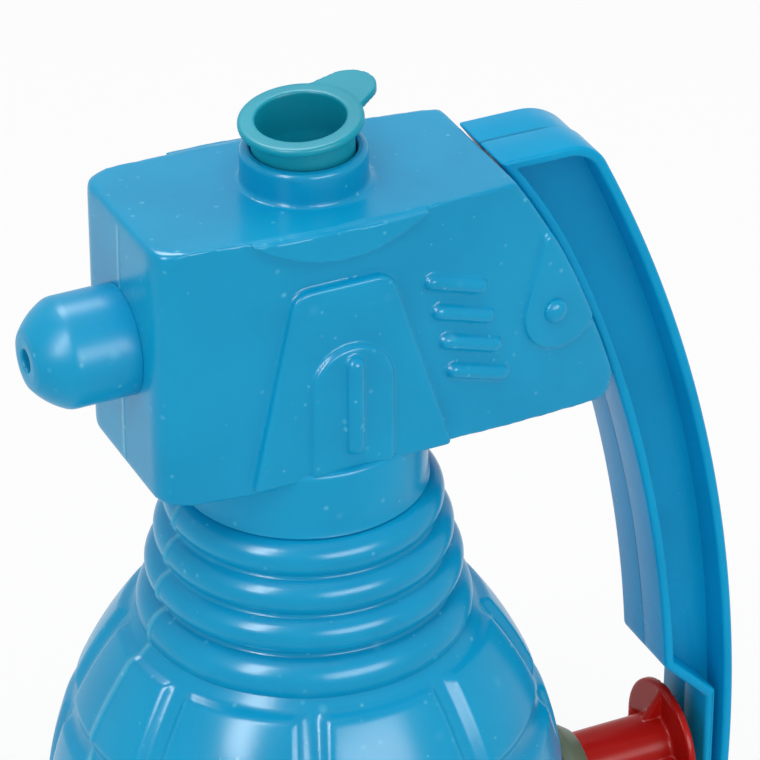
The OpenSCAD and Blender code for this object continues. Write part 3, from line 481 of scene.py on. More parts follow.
# the rings' circles (radius, height, tube) from the lowest, a fuller roll that runs into the shoulder
def ringCircles():
    circles = []
    for i in reversed(range(bulb["ringCount"])):
        last = i == bulb["ringCount"] - 1
        tube = bulb["lastTube"] if last else bulb["ringTube"]
        z = bulb["neckFoot"] - bulb["ringTube"] - bulb["ringSeat"] / 2 - i * bulb["ringPitch"]
        circles.append((bulb["neckRadius"] + bulb["ringProud"] + i * bulb["ringGrow"] - tube,
                        z - bulb["lastDrop"] if last else z, tube))
    return circles


# angles on two rings where the hollow curve between them starts and ends
def hollowDegs(lower, upper):
    a, b = lower[2] + bulb["ringFillet"], upper[2] + bulb["ringFillet"]
    apart = math.dist(lower[:2], upper[:2])
    lean = math.degrees(math.atan2(upper[1] - lower[1], upper[0] - lower[0]))
    fromLower = math.degrees(math.acos((a * a + apart * apart - b * b) / (2 * a * apart)))
    fromUpper = math.degrees(math.acos((b * b + apart * apart - a * a) / (2 * b * apart)))
    return lean - fromLower, lean - 180 + fromUpper


def bulbOutline():
    fromArc = bulb["arcRadius"] - bulb["heel"]
    heelX = bulb["arcX"] + math.sqrt(fromArc ** 2 - (bulb["midHeight"] - bulb["heel"]) ** 2)
    heelDeg = math.degrees(math.atan2(bulb["heel"] - bulb["midHeight"], heelX - bulb["arcX"]))
    points = [(radius, 0) for radius in bulb["footRadii"]]
    points += arcPoints((heelX, bulb["heel"]), bulb["heel"], -90, heelDeg, 8)
    deg = heelDeg + bulb["arcStepDeg"]
    while deg < bulb["panelTopDeg"]:
        radius = bulb["arcRadius"] - levelGroove(deg)
        points.append((bulb["arcX"] + radius * math.cos(math.radians(deg)),
                       bulb["midHeight"] + radius * math.sin(math.radians(deg))))
        deg += bulb["arcStepDeg"]
    fillet, low = bulb["ringFillet"], bulb["lastLowDeg"]
    rings = ringCircles()
    for lower, upper in zip(rings, rings[1:]):
        high, nextLow = hollowDegs(lower, upper)
        points += arcPoints(lower, lower[2], low, high, 16)
        reach, turn = lower[2] + fillet, math.radians(high)
        hollow = (lower[0] + reach * math.cos(turn), lower[1] + reach * math.sin(turn))
        points += arcPoints(hollow, fillet, high + 180, nextLow + 180, 8)[1:-1]
        low = nextLow
    points += arcPoints(rings[-1], rings[-1][2], low, bulb["ringTopDeg"], 16)
    neck, foot, top = bulb["neckRadius"], bulb["neckFoot"], bulb["neckTop"]
    points += [(neck + out, foot + up) for out, up in bulb["neckCrease"]]
    corners = [(neck, foot + bulb["neckStart"], 0), (neck, top, bulb["neckEdge"]), (0, top, 0)]
    return points + eased(corners, 6)


def makeBulb():
    piece = turned("bottleBulb", bulbOutline(), (0, 0, 0), (0, 0, 1), bulb["spinSteps"])
    lowDeg = bulb["panelTopDeg"] - bulb["rows"] * bulb["rowDeg"]
    pitch = 2 * math.pi / bulb["panels"]
    # upright grooves between the panels, and the raised seam at the front
    for vertex in piece.data.vertices:
        x, y, z = vertex.co / mm
        around = math.hypot(x, y)
        atSeam = x < 0 and abs(y) < bulb["seamReach"]
        if atSeam and z < bulb["neckFoot"] and around > bulb["neckRadius"]:
            vertex.co.x -= bulb["seamProud"] * mm
        if z > bulb["panelTop"] or z < bulb["grooveLow"]:
            continue
        deg = math.degrees(math.atan2(z - bulb["midHeight"], around - bulb["arcX"]))
        if deg < lowDeg:
            continue
        turn = (math.atan2(y, x) / pitch) % 1 - 0.5
        press = max(grooveShape(turn * pitch * around) - levelGroove(deg), 0)
        slope = math.radians(deg)
        away = Vector((x / around * math.cos(slope), y / around * math.cos(slope), math.sin(slope)))
        vertex.co -= away * press * mm
    finishPiece(piece, bottlePlastic, "body", ["bottle"], 60)


makeBulb()


# head: box with bowed sides, reliefs, filler boss and hinge slot, softened as one moulding

head = {"front": -22.4, "half": 12.0, "bowRadius": 210, "bowX": -3, "sideRange": (-20, 51), "low": 90.089,
        "top": 123.689, "edge": 1.9, "corner": 3.0, "frontSoft": 3.4, "frontPasses": 40, "rearSoft": 1.7,
        "rearPasses": 14, "voxel": 0.33, "softPasses": 3, "relief": 1.0,
        "leverCentre": (-136.2, 32.8), "rearRadius": 182.8, "rearDegs": (15, 33), "rearLead": 1.0,
        "leadFrom": 106, "leadTall": 16, "rearFoot": 93.2, "rearFootTall": 4.6, "rearFootLead": 2.8,
        "rearBox": {"x": -60, "low": 60, "high": 140, "half": 20},
        "topDroop": 0.033, "topRoll": 0.02, "footLift": 0.7, "footDroop": 0.04, "riseFrom": 2, "riseLong": 10,
        "footRise": 1.82, "footFall": 0.035,
        "boreX": 0.5, "boreRadius": 6.1, "boreLow": 98, "boreHigh": 130, "mouthOut": 0.2, "mouthDeep": 0.25,
        "rimTop": 127.2, "bossRadius": 7.35, "bossFoot": 122.7, "bossFillet": 0.7, "bossRoot": 3,
        "bossEdge": 0.7,
        "pivot": (27.5, 104.089), "pivotDeg": 23.53, "slotHalf": 2.85, "slotLong": 30, "eyeRoom": 4.4,
        "leverRoom": 6.05, "rearRoom": 1.7, "roomTop": 100.889, "roomUnder": 2, "roomBack": 60,
        "buttress": {"footX": 0.6, "topX": -0.5, "topHalf": 6, "footHalf": 12.5, "low": 91.289,
                     "high": 115.889, "corner": 2.0, "footCorner": 0.8, "topOut": 13.0, "footOut": 13.2,
                     "footAt": 92.289, "round": 0.7, "span": (-16, -6)},
        "arch": {"x": 0.2, "half": 5.2, "top": 108.089, "footUp": 0.4, "proud": 0.8, "round": 0.6,
                 "span": (-17, -6)},
        "rib": {"radius": 1.15, "low": 3.0, "high": 13.6, "proud": 0.95},
        "bar": {"at": (10, 113.089), "step": (1, -4.18), "count": 4, "length": 8.8, "radius": 1.0,
                "slopeDeg": 20},
        "disc": {"radius": 5.3, "shift": 1.2, "tip": (-0.4, 9.0), "tipRadius": 1.2, "proud": 0.6},
        "moon": {"x": -0.5, "radius": 17.5, "down": 4.0, "topDown": 0.25, "proud": 0.9}}


# share of the forward lean that the rear face and the lever have at the top
def topLead(z):
    return min(max((z - head["leadFrom"]) / head["leadTall"], 0), 1) ** 2


# how far the rear face lies in front of its curve: it leans at the top and runs in round at the foot
def rearLean(z):
    foot = max((head["rearFoot"] - z) / head["rearFootTall"], 0) ** 2
    return head["rearLead"] * topLead(z) + head["rearFootLead"] * foot


def headHalf(x):
    return head["half"] - head["bowRadius"] + math.sqrt(head["bowRadius"] ** 2 - (x - head["bowX"]) ** 2)


# the head from above, its sides moved out by grow
def planBlock(name, grow, low, top):
    corner, front = head["corner"], head["front"]
    aside = headHalf(front + corner) + grow - corner
    near = arcPoints((front + corner, -aside), corner, 180, 270, 6)
    near += [(x, -headHalf(x) - grow) for x in range(*head["sideRange"])]
    piece = plate(name, near + [(x, -y) for x, y in reversed(near)], low, top)
    turnMesh(piece, math.pi / 2, "X")
    return piece


# all that lies in front of the curve which the lever follows
def rearBlock():
    curve = arcPoints(head["leverCentre"], head["rearRadius"], *head["rearDegs"], 60)
    curve = [(x - rearLean(z), z) for x, z in curve]
    box = head["rearBox"]
    corners = [(box["x"], box["high"]), (box["x"], box["low"])]
    return plate("rearCurve", corners + curve, -box["half"], box["half"])


# a point beyond the hinge, on the line that the slot and the lever's lug follow
def pastPivot(reach):
    turn = math.radians(head["pivotDeg"])
    return head["pivot"][0] + reach * math.cos(turn), head["pivot"][1] + reach * math.sin(turn)


# the moulding has sagged: its top falls to the rear and the far side,
# and its foot rises at the front and behind the neck
def sag(piece):
    tall = head["top"] - head["low"]
    for vertex in piece.data.vertices:
        x, y, z = vertex.co / mm
        up = (z - head["low"]) / tall
        fromFront = x - head["front"]
        topShift = -head["topDroop"] * fromFront - head["topRoll"] * (y + head["half"])
        behind = min(max((x - head["riseFrom"]) / head["riseLong"], 0), 1)
        rise = behind ** 2 * (3 - 2 * behind) * (head["footRise"] - head["footFall"] * x)
        footShift = head["footLift"] - head["footDroop"] * fromFront + rise
        vertex.co.z += (topShift * up + footShift * (1 - up)) * mm


# edges that are rounder than the rest: those within reach of two faces, which depths gives for a point
def softenEdges(piece, depths, reach, passes):
    group = piece.vertex_groups.new(name="softEdges")
    for vertex in piece.data.vertices:
        near = 1 - max(depths(*(vertex.co / mm))) / reach
        if near > 0:
            group.add([vertex.index], min(near * 2, 1), "REPLACE")
    addModifier(piece, "SMOOTH", factor=0.5, iterations=passes, vertex_group="softEdges")
    piece.vertex_groups.remove(piece.vertex_groups["softEdges"])


def sideDepth(x, y, z):
    return min(headHalf(x) - abs(y), head["top"] - z, z - head["low"])


def rearDepths(x, y, z):
    return head["rearRadius"] - math.dist((x + rearLean(z), z), head["leverCentre"]), sideDepth(x, y, z)


def frontDepths(x, y, z):
    return x - head["front"], sideDepth(x, y, z)


def makeSideReliefs():
    shape = head["buttress"]
    lean = math.atan2(shape["footOut"] - shape["topOut"], shape["high"] - shape["footAt"])
    outward = Vector((0, -math.cos(lean), math.sin(lean)))

    def sliced(piece, proud, rounding):
        pickOnly(piece)
        editAll()
        onFace = Vector((0, -shape["topOut"], shape["high"])) * mm + outward * proud * mm
        bpy.ops.mesh.bisect(plane_co=onFace, plane_no=outward, use_fill=True, clear_outer=True)
        bpy.ops.object.mode_set(mode="OBJECT")
        tidyMesh(piece)
        bevelEdges(piece, rounding, 4, 50)
        return piece

    def againstSide(name, outline, proud):
        piece = plate(name, outline, -head["half"] - 2 * proud, -head["half"] / 2)
        cutWith(piece, planBlock("side", proud, head["low"], head["top"]), "INTERSECT")
        return piece

    middle, half = shape["footX"], shape["footHalf"]
    outline = eased([(middle - half, shape["low"], shape["footCorner"]),
                     (middle + half, shape["low"], shape["footCorner"]),
                     (shape["topX"] + shape["topHalf"], shape["high"], shape["corner"]),
                     (shape["topX"] - shape["topHalf"], shape["high"], shape["corner"])])
    parts = [sliced(plate("buttress", outline, *shape["span"]), 0, shape["round"])]
    arch = head["arch"]
    curve = arcPoints((arch["x"], arch["top"] - arch["half"]), arch["half"], 0, 180, 24)
    archFoot = shape["low"] + arch["footUp"]
    outline = [(arch["x"] - arch["half"], archFoot), (arch["x"] + arch["half"], archFoot)] + curve
    parts.append(sliced(plate("archPanel", outline, *arch["span"]), arch["proud"], arch["round"]))
    rib = head["rib"]
    up = Vector((0, math.sin(lean), math.cos(lean)))
    face = Vector((arch["x"], -shape["topOut"], shape["high"])) + outward * rib["proud"]
    foot = face - up * (shape["high"] - shape["footAt"] - rib["low"] + rib["radius"])
    parts.append(capsule("rib", foot, up, rib["high"] - rib["low"] + 2 * rib["radius"], rib["radius"]))
    bar = head["bar"]
    slope, half = math.radians(bar["slopeDeg"]), bar["length"] / 2
    for i in range(bar["count"]):
        x = bar["at"][0] + i * bar["step"][0] + half * math.cos(slope)
        z = bar["at"][1] + i * bar["step"][1] - half * math.sin(slope)
        turn = math.asin((x - head["bowX"]) / head["bowRadius"])
        along = Vector((math.cos(slope) * math.cos(turn), math.cos(slope) * math.sin(turn), -math.sin(slope)))
        middle = Vector((x, bar["radius"] - headHalf(x) - head["relief"], z))
        parts.append(capsule("bar", middle - along * half, along, bar["length"], bar["radius"]))
    disc = head["disc"]
    centre = (head["pivot"][0] + disc["shift"], head["pivot"][1])
    tip = (head["pivot"][0] + disc["tip"][0], head["pivot"][1] + disc["tip"][1])
    outline = stripOutline(centre, disc["radius"], tip, disc["tipRadius"], 32)
    hingeDisc = againstSide("hingeDisc", outline, disc["proud"])
    cutWith(hingeDisc, rearBlock(), "INTERSECT")
    moon = head["moon"]
    centre = (moon["x"], head["top"] - moon["down"] + moon["radius"])
    dip = math.degrees(math.asin((centre[1] - head["top"] + moon["topDown"]) / moon["radius"]))
    topMoon = againstSide("topMoon", arcPoints(centre, moon["radius"], dip - 180, -dip, 40), moon["proud"])
    return parts + [hingeDisc, topMoon]


# below the hinge the lever swings in, so the rear steps back there
def leverRoom():
    cz, inner = head["leverCentre"][1], head["rearRadius"] - head["rearRoom"]
    low, top, aside = head["low"] - head["roomUnder"], head["roomTop"], head["leverRoom"]
    lowDeg = math.degrees(math.asin((low - cz) / inner))
    highDeg = math.degrees(math.asin((top - cz) / inner))
    curve = arcPoints(head["leverCentre"], inner, highDeg, lowDeg, 24)
    return plate("leverRoom", curve + [(head["roomBack"], low), (head["roomBack"], top)], -aside, aside)


# edges right round a piece at each x, so that it can bend there
def addCuts(piece, places):
    pickOnly(piece)
    bpy.ops.object.mode_set(mode="EDIT")
    for x in places:
        bpy.ops.mesh.select_all(action="SELECT")
        bpy.ops.mesh.bisect(plane_co=(x * mm, 0, 0), plane_no=(1, 0, 0))
    bpy.ops.object.mode_set(mode="OBJECT")


def makeFillerBoss():
    bore, rim, outer = head["boreRadius"], head["rimTop"], head["bossRadius"]
    foot, fillet, edge = head["bossFoot"], head["bossFillet"], head["bossEdge"]
    root = foot - head["bossRoot"]
    outline = [(bore, root), (outer + fillet, root)]
    outline += arcPoints((outer + fillet, foot + fillet), fillet, 270, 180, 6)
    outline += arcPoints((outer - edge, rim - edge), edge, 0, 90, 8)
    outline += [(bore + head["mouthOut"], rim), (bore, rim - head["mouthDeep"])]
    return turned("fillerBoss", outline, (head["boreX"], 0, 0), (0, 0, 1))


def makeHead():
    body = planBlock("bottleHead", 0, head["low"], head["top"])
    bevelEdges(body, head["edge"], 6, 60)
    addCuts(body, range(head["riseFrom"], head["riseFrom"] + head["riseLong"] + 1))
    sag(body)
    cutWith(body, rearBlock(), "INTERSECT")
    radius, low, high = head["boreRadius"], head["boreLow"], head["boreHigh"]
    bore = [(0, low), (radius, low), (radius, high), (0, high)]
    cutWith(body, turned("bore", bore, (head["boreX"], 0, 0), (0, 0, 1)))
    slot = stripOutline(head["pivot"], head["eyeRoom"], pastPivot(head["slotLong"]), head["eyeRoom"])
    cutWith(body, plate("slot", slot, -head["slotHalf"], head["slotHalf"]))
    cutWith(body, leverRoom())
    near = makeSideReliefs()
    far = [mirrored(part) for part in near]
    # the half moons hang from the top and sag with it
    for moon in (near[-1], far[-1]):
        sag(moon)
    piece = joinAll("bottleHead", [body, makeFillerBoss()] + near + far)
    moulded(piece, head["voxel"], head["softPasses"])
    softenEdges(piece, rearDepths, head["rearSoft"], head["rearPasses"])
    softenEdges(piece, frontDepths, head["frontSoft"], head["frontPasses"])
    finishPiece(piece, bottlePlastic, "body", ["bottle"], 60)


makeHead()


# nozzle with its jet hole

nozzle = {"at": (-22.6, 0, 107.589), "radius": 6.55, "straight": 7.3, "length": 11.4, "faceRadius": 3.2,
          "curve": 9.0, "curveTrim": (2.5, 2), "shoulderEase": ((0, 0.5), (0.03, 0.1)),
          "faceEase": ((0.1, 0.15, 0), (0.5, 0, 0.3)), "jet": 1.35, "jetDepth": 4.0, "jetEdge": 0.35,
          "socket": 4.43, "socketDepth": 6.2, "socketEdge": 0.2, "skirt": 0.2, "skirtEdge": 0.1,
          "skirtTall": 2.0}


def makeNozzle():
    radius, straight, length = nozzle["radius"], nozzle["straight"], nozzle["length"]
    face, jet, jetEnd = nozzle["faceRadius"], nozzle["jet"], length - nozzle["jetDepth"]
    socket, socketEnd, skirt = nozzle["socket"], nozzle["socketDepth"], nozzle["skirt"]
    shoulder, rim = Vector((radius, straight)), Vector((face, length))
    half = (rim - shoulder).length / 2
    inward = Vector((shoulder.y - rim.y, rim.x - shoulder.x)) / (2 * half)
    centre = (shoulder + rim) / 2 + inward * math.sqrt(nozzle["curve"] ** 2 - half ** 2)
    fromDeg = math.degrees(math.atan2(shoulder.y - centre.y, shoulder.x - centre.x))
    toDeg = math.degrees(math.atan2(rim.y - centre.y, rim.x - centre.x))
    outline = eased([(socket, socketEnd, 0), (socket, -skirt, nozzle["socketEdge"]),
                     (radius, -skirt, nozzle["skirtEdge"]), (radius, nozzle["skirtTall"], 0)], 4)
    outline += [(radius - inset, straight - down) for inset, down in nozzle["shoulderEase"]]
    trimFrom, trimTo = nozzle["curveTrim"]
    outline += arcPoints(centre, nozzle["curve"], fromDeg + trimFrom, toDeg - trimTo, 16)
    corners = [(face - inset, length - down, rounding) for inset, down, rounding in nozzle["faceEase"]]
    outline += eased(corners + [(jet, length, nozzle["jetEdge"]), (jet, jetEnd, 0)], 4)
    outline += [(0, jetEnd), (0, socketEnd)]
    piece = turned("nozzleTip", outline, nozzle["at"], (-1, 0, 0))
    finishPiece(piece, nozzlePlastic, "body", ["nozzle_tip"])


makeNozzle()


# filler plug: thin soft cup with a flange and a pull tab, pushed in a little askew

plug = {"x": 0.5, "rimTop": 125.789, "rise": 4.2, "depth": 4.4, "radius": 5.94, "draft": 0.6, "wall": 0.75,
        "flange": 7.2, "flangeThick": 1.0, "tiltDeg": 5.5, "tabDeg": 24, "tabReach": 11.4, "tabWidth": 6.4,
        "tabRoot": 0.7, "tabThick": 0.92, "tabLift": 0.04, "holeRoom": 0.2, "holeTall": 12, "voxel": 0.2,
        "softPasses": 3}


def makePlug():
    r, draft, flange, rise = plug["radius"], plug["draft"], plug["flange"], plug["rise"]
    inner, top = r - plug["wall"], rise + plug["flangeThick"]
    low, floor = -plug["depth"], plug["wall"] - plug["depth"]
    outline = eased([(0, low, 0), (r - draft, low, 0.4), (r, 0, 0), (r, rise, 0.25), (flange, rise, 0.4),
                     (flange, top, 0.45), (inner, top, 0.3), (inner, 0, 0), (inner - draft, floor, 0.5),
                     (0, floor, 0)], 4)
    cup = turned("fillerPlug", outline, (0, 0, 0), (0, 0, 1))
    half = plug["tabWidth"] / 2
    shape = stripOutline((0, 0), flange * plug["tabRoot"], (plug["tabReach"] - half, 0), half, 24)
    tab = plate("tab", shape, 0, plug["flangeThick"] * plug["tabThick"])
    turnMesh(tab, math.pi / 2, "X")
    moveMesh(tab, 0, rise + plug["tabLift"])
    mouth, tall = inner + plug["holeRoom"], plug["holeTall"]
    hole = turned("hole", [(0, 0), (mouth, 0), (mouth, tall), (0, tall)], (0, 0, 0), (0, 0, 1))
    tidyMesh(tab)
    cutWith(tab, hole)
    piece = joinAll("fillerPlug", [cup, tab])
    moulded(piece, plug["voxel"], plug["softPasses"])
    turnMesh(piece, math.radians(-plug["tiltDeg"]), "Y")
    turnMesh(piece, math.radians(plug["tabDeg"]), "Z")
    moveMesh(piece, plug["x"], plug["rimTop"])
    finishPiece(piece, plugPlastic, "filler_plug", ["filler_plug"], 60)


makePlug()


# lever: bowed I-section with pockets on both sides and the hinge lug

lever = {"centre": head["leverCentre"], "outer": 193.0, "inner": 183.4, "half": 5.7, "top": 122.189,
         "corner": 5.6, "farCorner": 7.4, "cornerGapDeg": 0.1, "lead": 1.4, "flange": 1.3, "web": 1.2,
         "pocketPast": 2, "tailX": 52.9, "tailLow": 10, "stepZ": 44.6, "eye": 3.2, "eyeHalf": 2.5,
         "eyeReach": 2.7, "fillet": 1.2, "edge": 0.5, "lap": 0.28}


def leverOutline(inset, corner):
    cx, cz = lever["centre"]
    outer, inner, top = lever["outer"] - inset, lever["inner"] + inset, lever["top"] - inset
    low, tailX = lever["tailLow"] + inset, lever["tailX"] + inset

    def arcDeg(radius, z):
        return math.degrees(math.asin((z - cz) / radius))

    cornerZ = lever["top"] - corner
    middle = (cx + math.sqrt((lever["outer"] - corner) ** 2 - (cornerZ - cz) ** 2), cornerZ)
    outDeg = math.degrees(math.atan2(middle[1] - cz, middle[0] - cx))
    points = arcPoints(middle, corner - inset, 90, outDeg, 12)
    points += arcPoints(lever["centre"], outer, outDeg - lever["cornerGapDeg"], arcDeg(outer, low), 90)
    points.append((tailX, low))
    stepX = cx + math.sqrt(lever["inner"] ** 2 - (lever["stepZ"] - cz) ** 2)
    total = lever["stepZ"] + stepX + inset * math.sqrt(2)
    points.append((tailX, total - tailX))
    # z settles where the inner edge meets the slope of the step
    z = lever["stepZ"]
    for _ in range(30):
        z = total - (cx + math.sqrt(inner ** 2 - (z - cz) ** 2))
    curve = arcPoints(lever["centre"], inner, arcDeg(inner, z), arcDeg(inner, top), 80)
    return points + [(x - lever["lead"] * topLead(z), z) for x, z in curve]


def leverHalf(name, y0, y1, corner, pocketY):
    piece = plate(name, leverOutline(0, corner), y0, y1)
    pocket = plate("pocket", leverOutline(lever["flange"], corner), *pocketY)
    bevelEdges(pocket, lever["fillet"], 8, 35)
    cutWith(piece, pocket)
    bevelEdges(piece, lever["edge"], 4, 35, use_clamp_overlap=False)
    return piece


def makeLever():
    half, web, lap = lever["half"], lever["web"], lever["lap"]
    past = half + lever["pocketPast"]
    near = leverHalf("squeezeLever", -half, lap, lever["corner"], (-past, -web))
    far = leverHalf("farHalf", -lap, half, lever["farCorner"], (web, past))
    outline = stripOutline(head["pivot"], lever["eye"], pastPivot(lever["eyeReach"]), lever["eye"])
    lug = plate("lug", outline, -lever["eyeHalf"], lever["eyeHalf"])
    cutWith(near, far, "UNION")
    cutWith(near, lug, "UNION")
    tidyMesh(near)
    finishPiece(near, leverPlastic, "lever", ["lever"], 15)


makeLever()


# hinge pin with low domed ends

pin = {"radius": 1.5, "half": 10.45, "dome": 0.9}


def makePin():
    r, half, dome = pin["radius"], pin["half"], pin["dome"]
    turns = [math.radians(d) for d in range(0, 91, 10)]
    curve = [(r * math.sin(a), half + dome * math.cos(a)) for a in turns]
    outline = curve + [(x, -h) for x, h in reversed(curve)]
    piece = turned("pivotPin", outline, (head["pivot"][0], 0, head["pivot"][1]), (0, 1, 0), 48)
    finishPiece(piece, bottlePlastic, "body", ["pivot_pin"])


makePin()


# plunger: rod, pressing flange with a low crown, gussets behind it, and the piston

plunger = {"axisZ": 28.817, "crownX": 52.5, "crown": 1.9, "crownInset": 0.6, "flange": 8.4,
           "flangeThick": 1.2, "rod": 4.25, "pistonEnd": 26.58, "pistonLength": 3.4, "pistonRadius": 5.28,
           "groove": 4.35, "grooveWidth": 1.6, "gussetLength": 2.4, "gussetThick": 1.0, "gussetInset": 0.5,
           "gussetSunk": 0.6, "gussetRoot": 1, "voxel": 0.24, "softPasses": 3}


def makePlunger():
    flange, rod, piston = plunger["flange"], plunger["rod"], plunger["pistonRadius"]
    back, rim = plunger["crown"], flange - plunger["crownInset"]
    curve = (rim ** 2 + back ** 2) / (2 * back)
    spread = math.degrees(math.asin(rim / curve))
    turns = [math.radians(spread * k / 10) for k in range(11)]
    outline = [(curve * math.sin(a), curve * (1 - math.cos(a))) for a in turns]
    front = back + plunger["flangeThick"]
    end = plunger["crownX"] - plunger["pistonEnd"]
    start = end - plunger["pistonLength"]
    groove, low = plunger["groove"], (start + end - plunger["grooveWidth"]) / 2
    high = low + plunger["grooveWidth"]
    outline += eased([(flange, back, 0.35), (flange, front, 0.35), (rod, front, 0.5), (rod, start, 0),
                      (piston, start, 0.3), (piston, low, 0), (groove, low, 0), (groove, high, 0),
                      (piston, high, 0), (piston, end, 0.3), (0, end, 0)], 4)
    parts = [turned("pressRod", outline, (plunger["crownX"], 0, plunger["axisZ"]), (-1, 0, 0))]
    flangeX, half = plunger["crownX"] - front, plunger["gussetThick"] / 2
    sunkX, tailX = flangeX + plunger["gussetSunk"], flangeX - plunger["gussetLength"]
    reach, root = flange - plunger["gussetInset"], rod - plunger["gussetRoot"]
    shape = [(sunkX, root), (sunkX, reach), (flangeX, reach), (tailX, rod), (tailX, root)]
    for quarter in range(4):
        gusset = plate("gusset", shape, -half, half)
        turnMesh(gusset, math.pi / 2 * quarter, "X")
        moveMesh(gusset, 0, plunger["axisZ"])
        parts.append(gusset)
    piece = joinAll("pressRod", parts)
    moulded(piece, plunger["voxel"], plunger["softPasses"])
    finishPiece(piece, rodPlastic, "plunger", ["plunger"], 60)


makePlunger()


# pump nose and gasket behind the bulb

pumpEnd = {"axisZ": plunger["axisZ"], "padX": 32.231, "flangeX": 33.331, "capX": 34.331, "noseX": 37.331,
           "bore": 4.31, "barrel": 6.3, "barrelRoom": 0.03, "collar": 6.6, "collarTall": 0.6, "gasket": 7.3,
           "tip": 4.9, "capInside": 4.0, "spigot": 5.37}


def makePumpEnd():
    at = (0, 0, pumpEnd["axisZ"])
    capX, noseX, bore = pumpEnd["capX"], pumpEnd["noseX"], pumpEnd["bore"]
    spigot, collar, inX = pumpEnd["spigot"], pumpEnd["collar"], capX - pumpEnd["capInside"]
    outline = eased([(bore, inX, 0), (spigot, inX, 0), (spigot, capX, 0), (collar, capX, 0.2),
                     (collar, capX + pumpEnd["collarTall"], 0.5), (pumpEnd["tip"], noseX, 0.4),
                     (bore, noseX, 0.2)], 4)
    cap = turned("barrelCap", outline, at, (1, 0, 0))
    # the cap's plastic carries painted shade in its darkened colour
    finishPiece(cap, milkyPaintedShadePlastic, "body", ["barrel_cap"])
    inner, outer = pumpEnd["barrel"] + pumpEnd["barrelRoom"], pumpEnd["gasket"]
    padX, flangeX = pumpEnd["padX"], pumpEnd["flangeX"]
    outline = eased([(inner, padX, 0), (outer, padX, 0.3), (outer, flangeX, 0.4), (inner, flangeX, 0)], 4)
    gasket = turned("barrelGasket", outline, at, (1, 0, 0))
    finishPiece(gasket, sealRubber, "body", ["barrel_gasket"])


makePumpEnd()


# coil springs, each made at its given length

springs = {"returnSpring": {"node": "return_spring", "radius": 3.45, "wire": 0.4, "from": 10.134,
                            "length": 16.096, "turns": 7, "axisZ": 28.817, "joint": "plunger_slide",
                            "anchor": 10.134, "keep": 0.43},
           "outletSpring": {"node": "outlet_spring", "radius": 1.25, "wire": 0.15, "from": 3.064,
                            "length": 2.242, "turns": 2, "axisZ": 31.517, "joint": "outlet_ball_lift",
                            "anchor": 3.064, "keep": 0.64}}
coilSteps = 24


def makeSpring(name, spring):
    radius, wire, steps = spring["radius"], spring["wire"], coilSteps * spring["turns"]
    start = spring["from"] + wire
    turns = [k * math.pi / 6 for k in range(12)]
    ring = [Vector((start + wire * math.cos(a), 0, radius + wire * math.sin(a))) * mm for a in turns]
    piece = startOutline(name, ring, True)
    turnMesh(piece, math.pi / 2, "Y")
    addModifier(piece, "SCREW", axis="Z", angle=2 * math.pi * spring["turns"], steps=steps,
                render_steps=steps, screw_offset=-(spring["length"] - 2 * wire) * mm)
    turnMesh(piece, -math.pi / 2, "Y")
    moveMesh(piece, 0, spring["axisZ"])
    tidyMesh(piece)
    editAll()
    bpy.ops.mesh.fill_holes(sides=0)
    tidyMesh(piece)
    finishPiece(piece, springSteel, "body", [spring["node"]], 60)
    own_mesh(piece)


for name, spring in springs.items():
    makeSpring(name, spring)


# inner pieces keep their solids and get the real finishes

finishes = {"nozzle_ferrule": milkyPaintedShadePlastic, "pump_barrel": milkyPaintedShadePlastic, "valve_body": milkyPaintedShadePlastic,
            "inlet_cap": milkyPaintedShadePlastic, "outlet_cap": milkyPaintedShadePlastic, "dip_tube": tubePlastic,
            "delivery_tube": tubePlastic, "intake_strainer": rodPlastic, "piston_seal": sealRubber,
            "inlet_ball": springSteel, "outlet_ball": springSteel}
for nodeName, material in finishes.items():
    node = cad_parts[nodeName]
    node.data.materials.clear()
    node.data.materials.append(material)
print("inner pieces finished:", len(finishes))


# pale floor, soft studio light and the camera at the photograph's angle

stage = {"floorSize": 12, "floorColour": (0.86, 0.86, 0.86, 1), "floorRough": 0.9, "whiteShare": 0.8,
         "worldLight": 0.82, "lampAim": (0, 0, 0.09), "lampAway": 0.6}


# share of plain white that the camera and the reflections see
def whiteForCamera(tree, shader, share):
    rays = tree.nodes.new("ShaderNodeLightPath")
    seen = mathNode(tree, "MAXIMUM", rays.outputs["Is Camera Ray"], rays.outputs["Is Glossy Ray"])
    seen = mathNode(tree, "MAXIMUM", seen, rays.outputs["Is Transmission Ray"])
    white = tree.nodes.new("ShaderNodeEmission" if share < 1 else "ShaderNodeBackground")
    white.inputs["Color"].default_value = (1, 1, 1, 1)
    white.inputs["Strength"].default_value = 1.0
    mix = tree.nodes.new("ShaderNodeMixShader")
    tree.links.new(mathNode(tree, "MULTIPLY", seen, share), mix.inputs[0])
    tree.links.new(shader, mix.inputs[1])
    tree.links.new(white.outputs[0], mix.inputs[2])
    return mix.outputs[0]


def makeFloor():
    pickOnly(None)
    bpy.ops.mesh.primitive_plane_add(size=stage["floorSize"])
    floor = bpy.context.active_object
    floor.name = "floor"
    material, tree, shader = newMaterial("paleFloor")
    shader.inputs["Base Color"].default_value = stage["floorColour"]
    shader.inputs["Roughness"].default_value = stage["floorRough"]
    surface = whiteForCamera(tree, shader.outputs[0], stage["whiteShare"])
    tree.links.new(surface, tree.nodes["Material Output"].inputs[0])
    floor.data.materials.append(material)


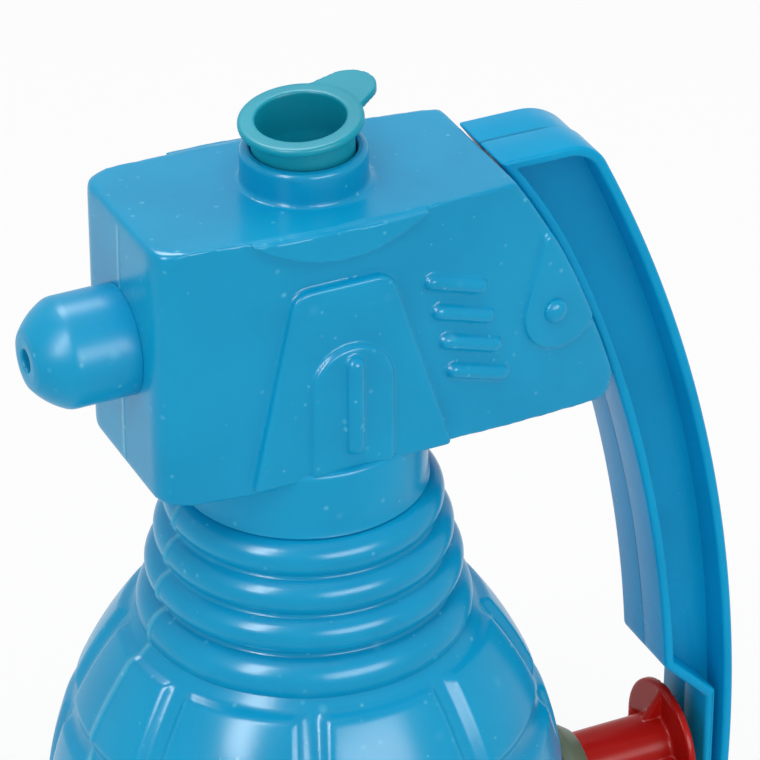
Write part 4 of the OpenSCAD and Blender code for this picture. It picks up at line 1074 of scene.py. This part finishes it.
def makeWorld():
    world = bpy.data.worlds.new("studio")
    world.use_nodes = True
    tree = world.node_tree
    soft = tree.nodes["Background"]
    soft.inputs["Color"].default_value = (1, 1, 1, 1)
    soft.inputs["Strength"].default_value = stage["worldLight"]
    tree.links.new(whiteForCamera(tree, soft.outputs[0], 1), tree.nodes["World Output"].inputs[0])
    bpy.context.scene.world = world


# three boxes are there for the reflections only, and one for the light on the object
lamps = {"leftBox": {"turnDeg": -150, "upDeg": 36, "wide": 0.13, "tall": 0.42, "power": 7, "lights": False},
         "rightBox": {"turnDeg": -80, "upDeg": 19, "wide": 0.4, "tall": 0.22, "power": 5.5, "lights": False},
         "topBox": {"turnDeg": 95, "upDeg": 64, "wide": 0.34, "tall": 0.22, "power": 7, "lights": False},
         "fillBox": {"turnDeg": -120, "upDeg": 74, "wide": 0.4, "tall": 0.4, "power": 1.1, "lights": True}}


def makeLamp(name, lamp):
    turn, up = math.radians(lamp["turnDeg"]), math.radians(lamp["upDeg"])
    direction = Vector((math.cos(turn) * math.cos(up), math.sin(turn) * math.cos(up), math.sin(up)))
    data = bpy.data.lights.new(name, "AREA")
    data.shape = "RECTANGLE"
    data.size, data.size_y = lamp["wide"], lamp["tall"]
    data.energy = lamp["power"]
    box = bpy.data.objects.new(name, data)
    bpy.context.collection.objects.link(box)
    box.location = Vector(stage["lampAim"]) + direction * stage["lampAway"]
    box.rotation_euler = direction.to_track_quat("Z", "Y").to_euler()
    box.visible_camera = False
    box.visible_diffuse, box.visible_glossy = lamp["lights"], not lamp["lights"]


camera = {"at": (-0.18486, -0.40947, 0.37216), "upDeg": 31.57, "turnDeg": 25.45, "lens": 215.13,
          "sensor": 36, "clipStart": 0.01}


def makeCamera():
    data = bpy.data.cameras.new("camera")
    data.lens = camera["lens"]
    data.sensor_width = camera["sensor"]
    data.clip_start = camera["clipStart"]
    eye = bpy.data.objects.new("camera", data)
    bpy.context.collection.objects.link(eye)
    eye.location = camera["at"]
    eye.rotation_euler = (math.radians(90 - camera["upDeg"]), 0, math.radians(-camera["turnDeg"]))
    bpy.context.scene.camera = eye


makeFloor()
makeWorld()
for name, lamp in lamps.items():
    makeLamp(name, lamp)
makeCamera()
bpy.context.scene.view_settings.view_transform = "Standard"
print("stage made")
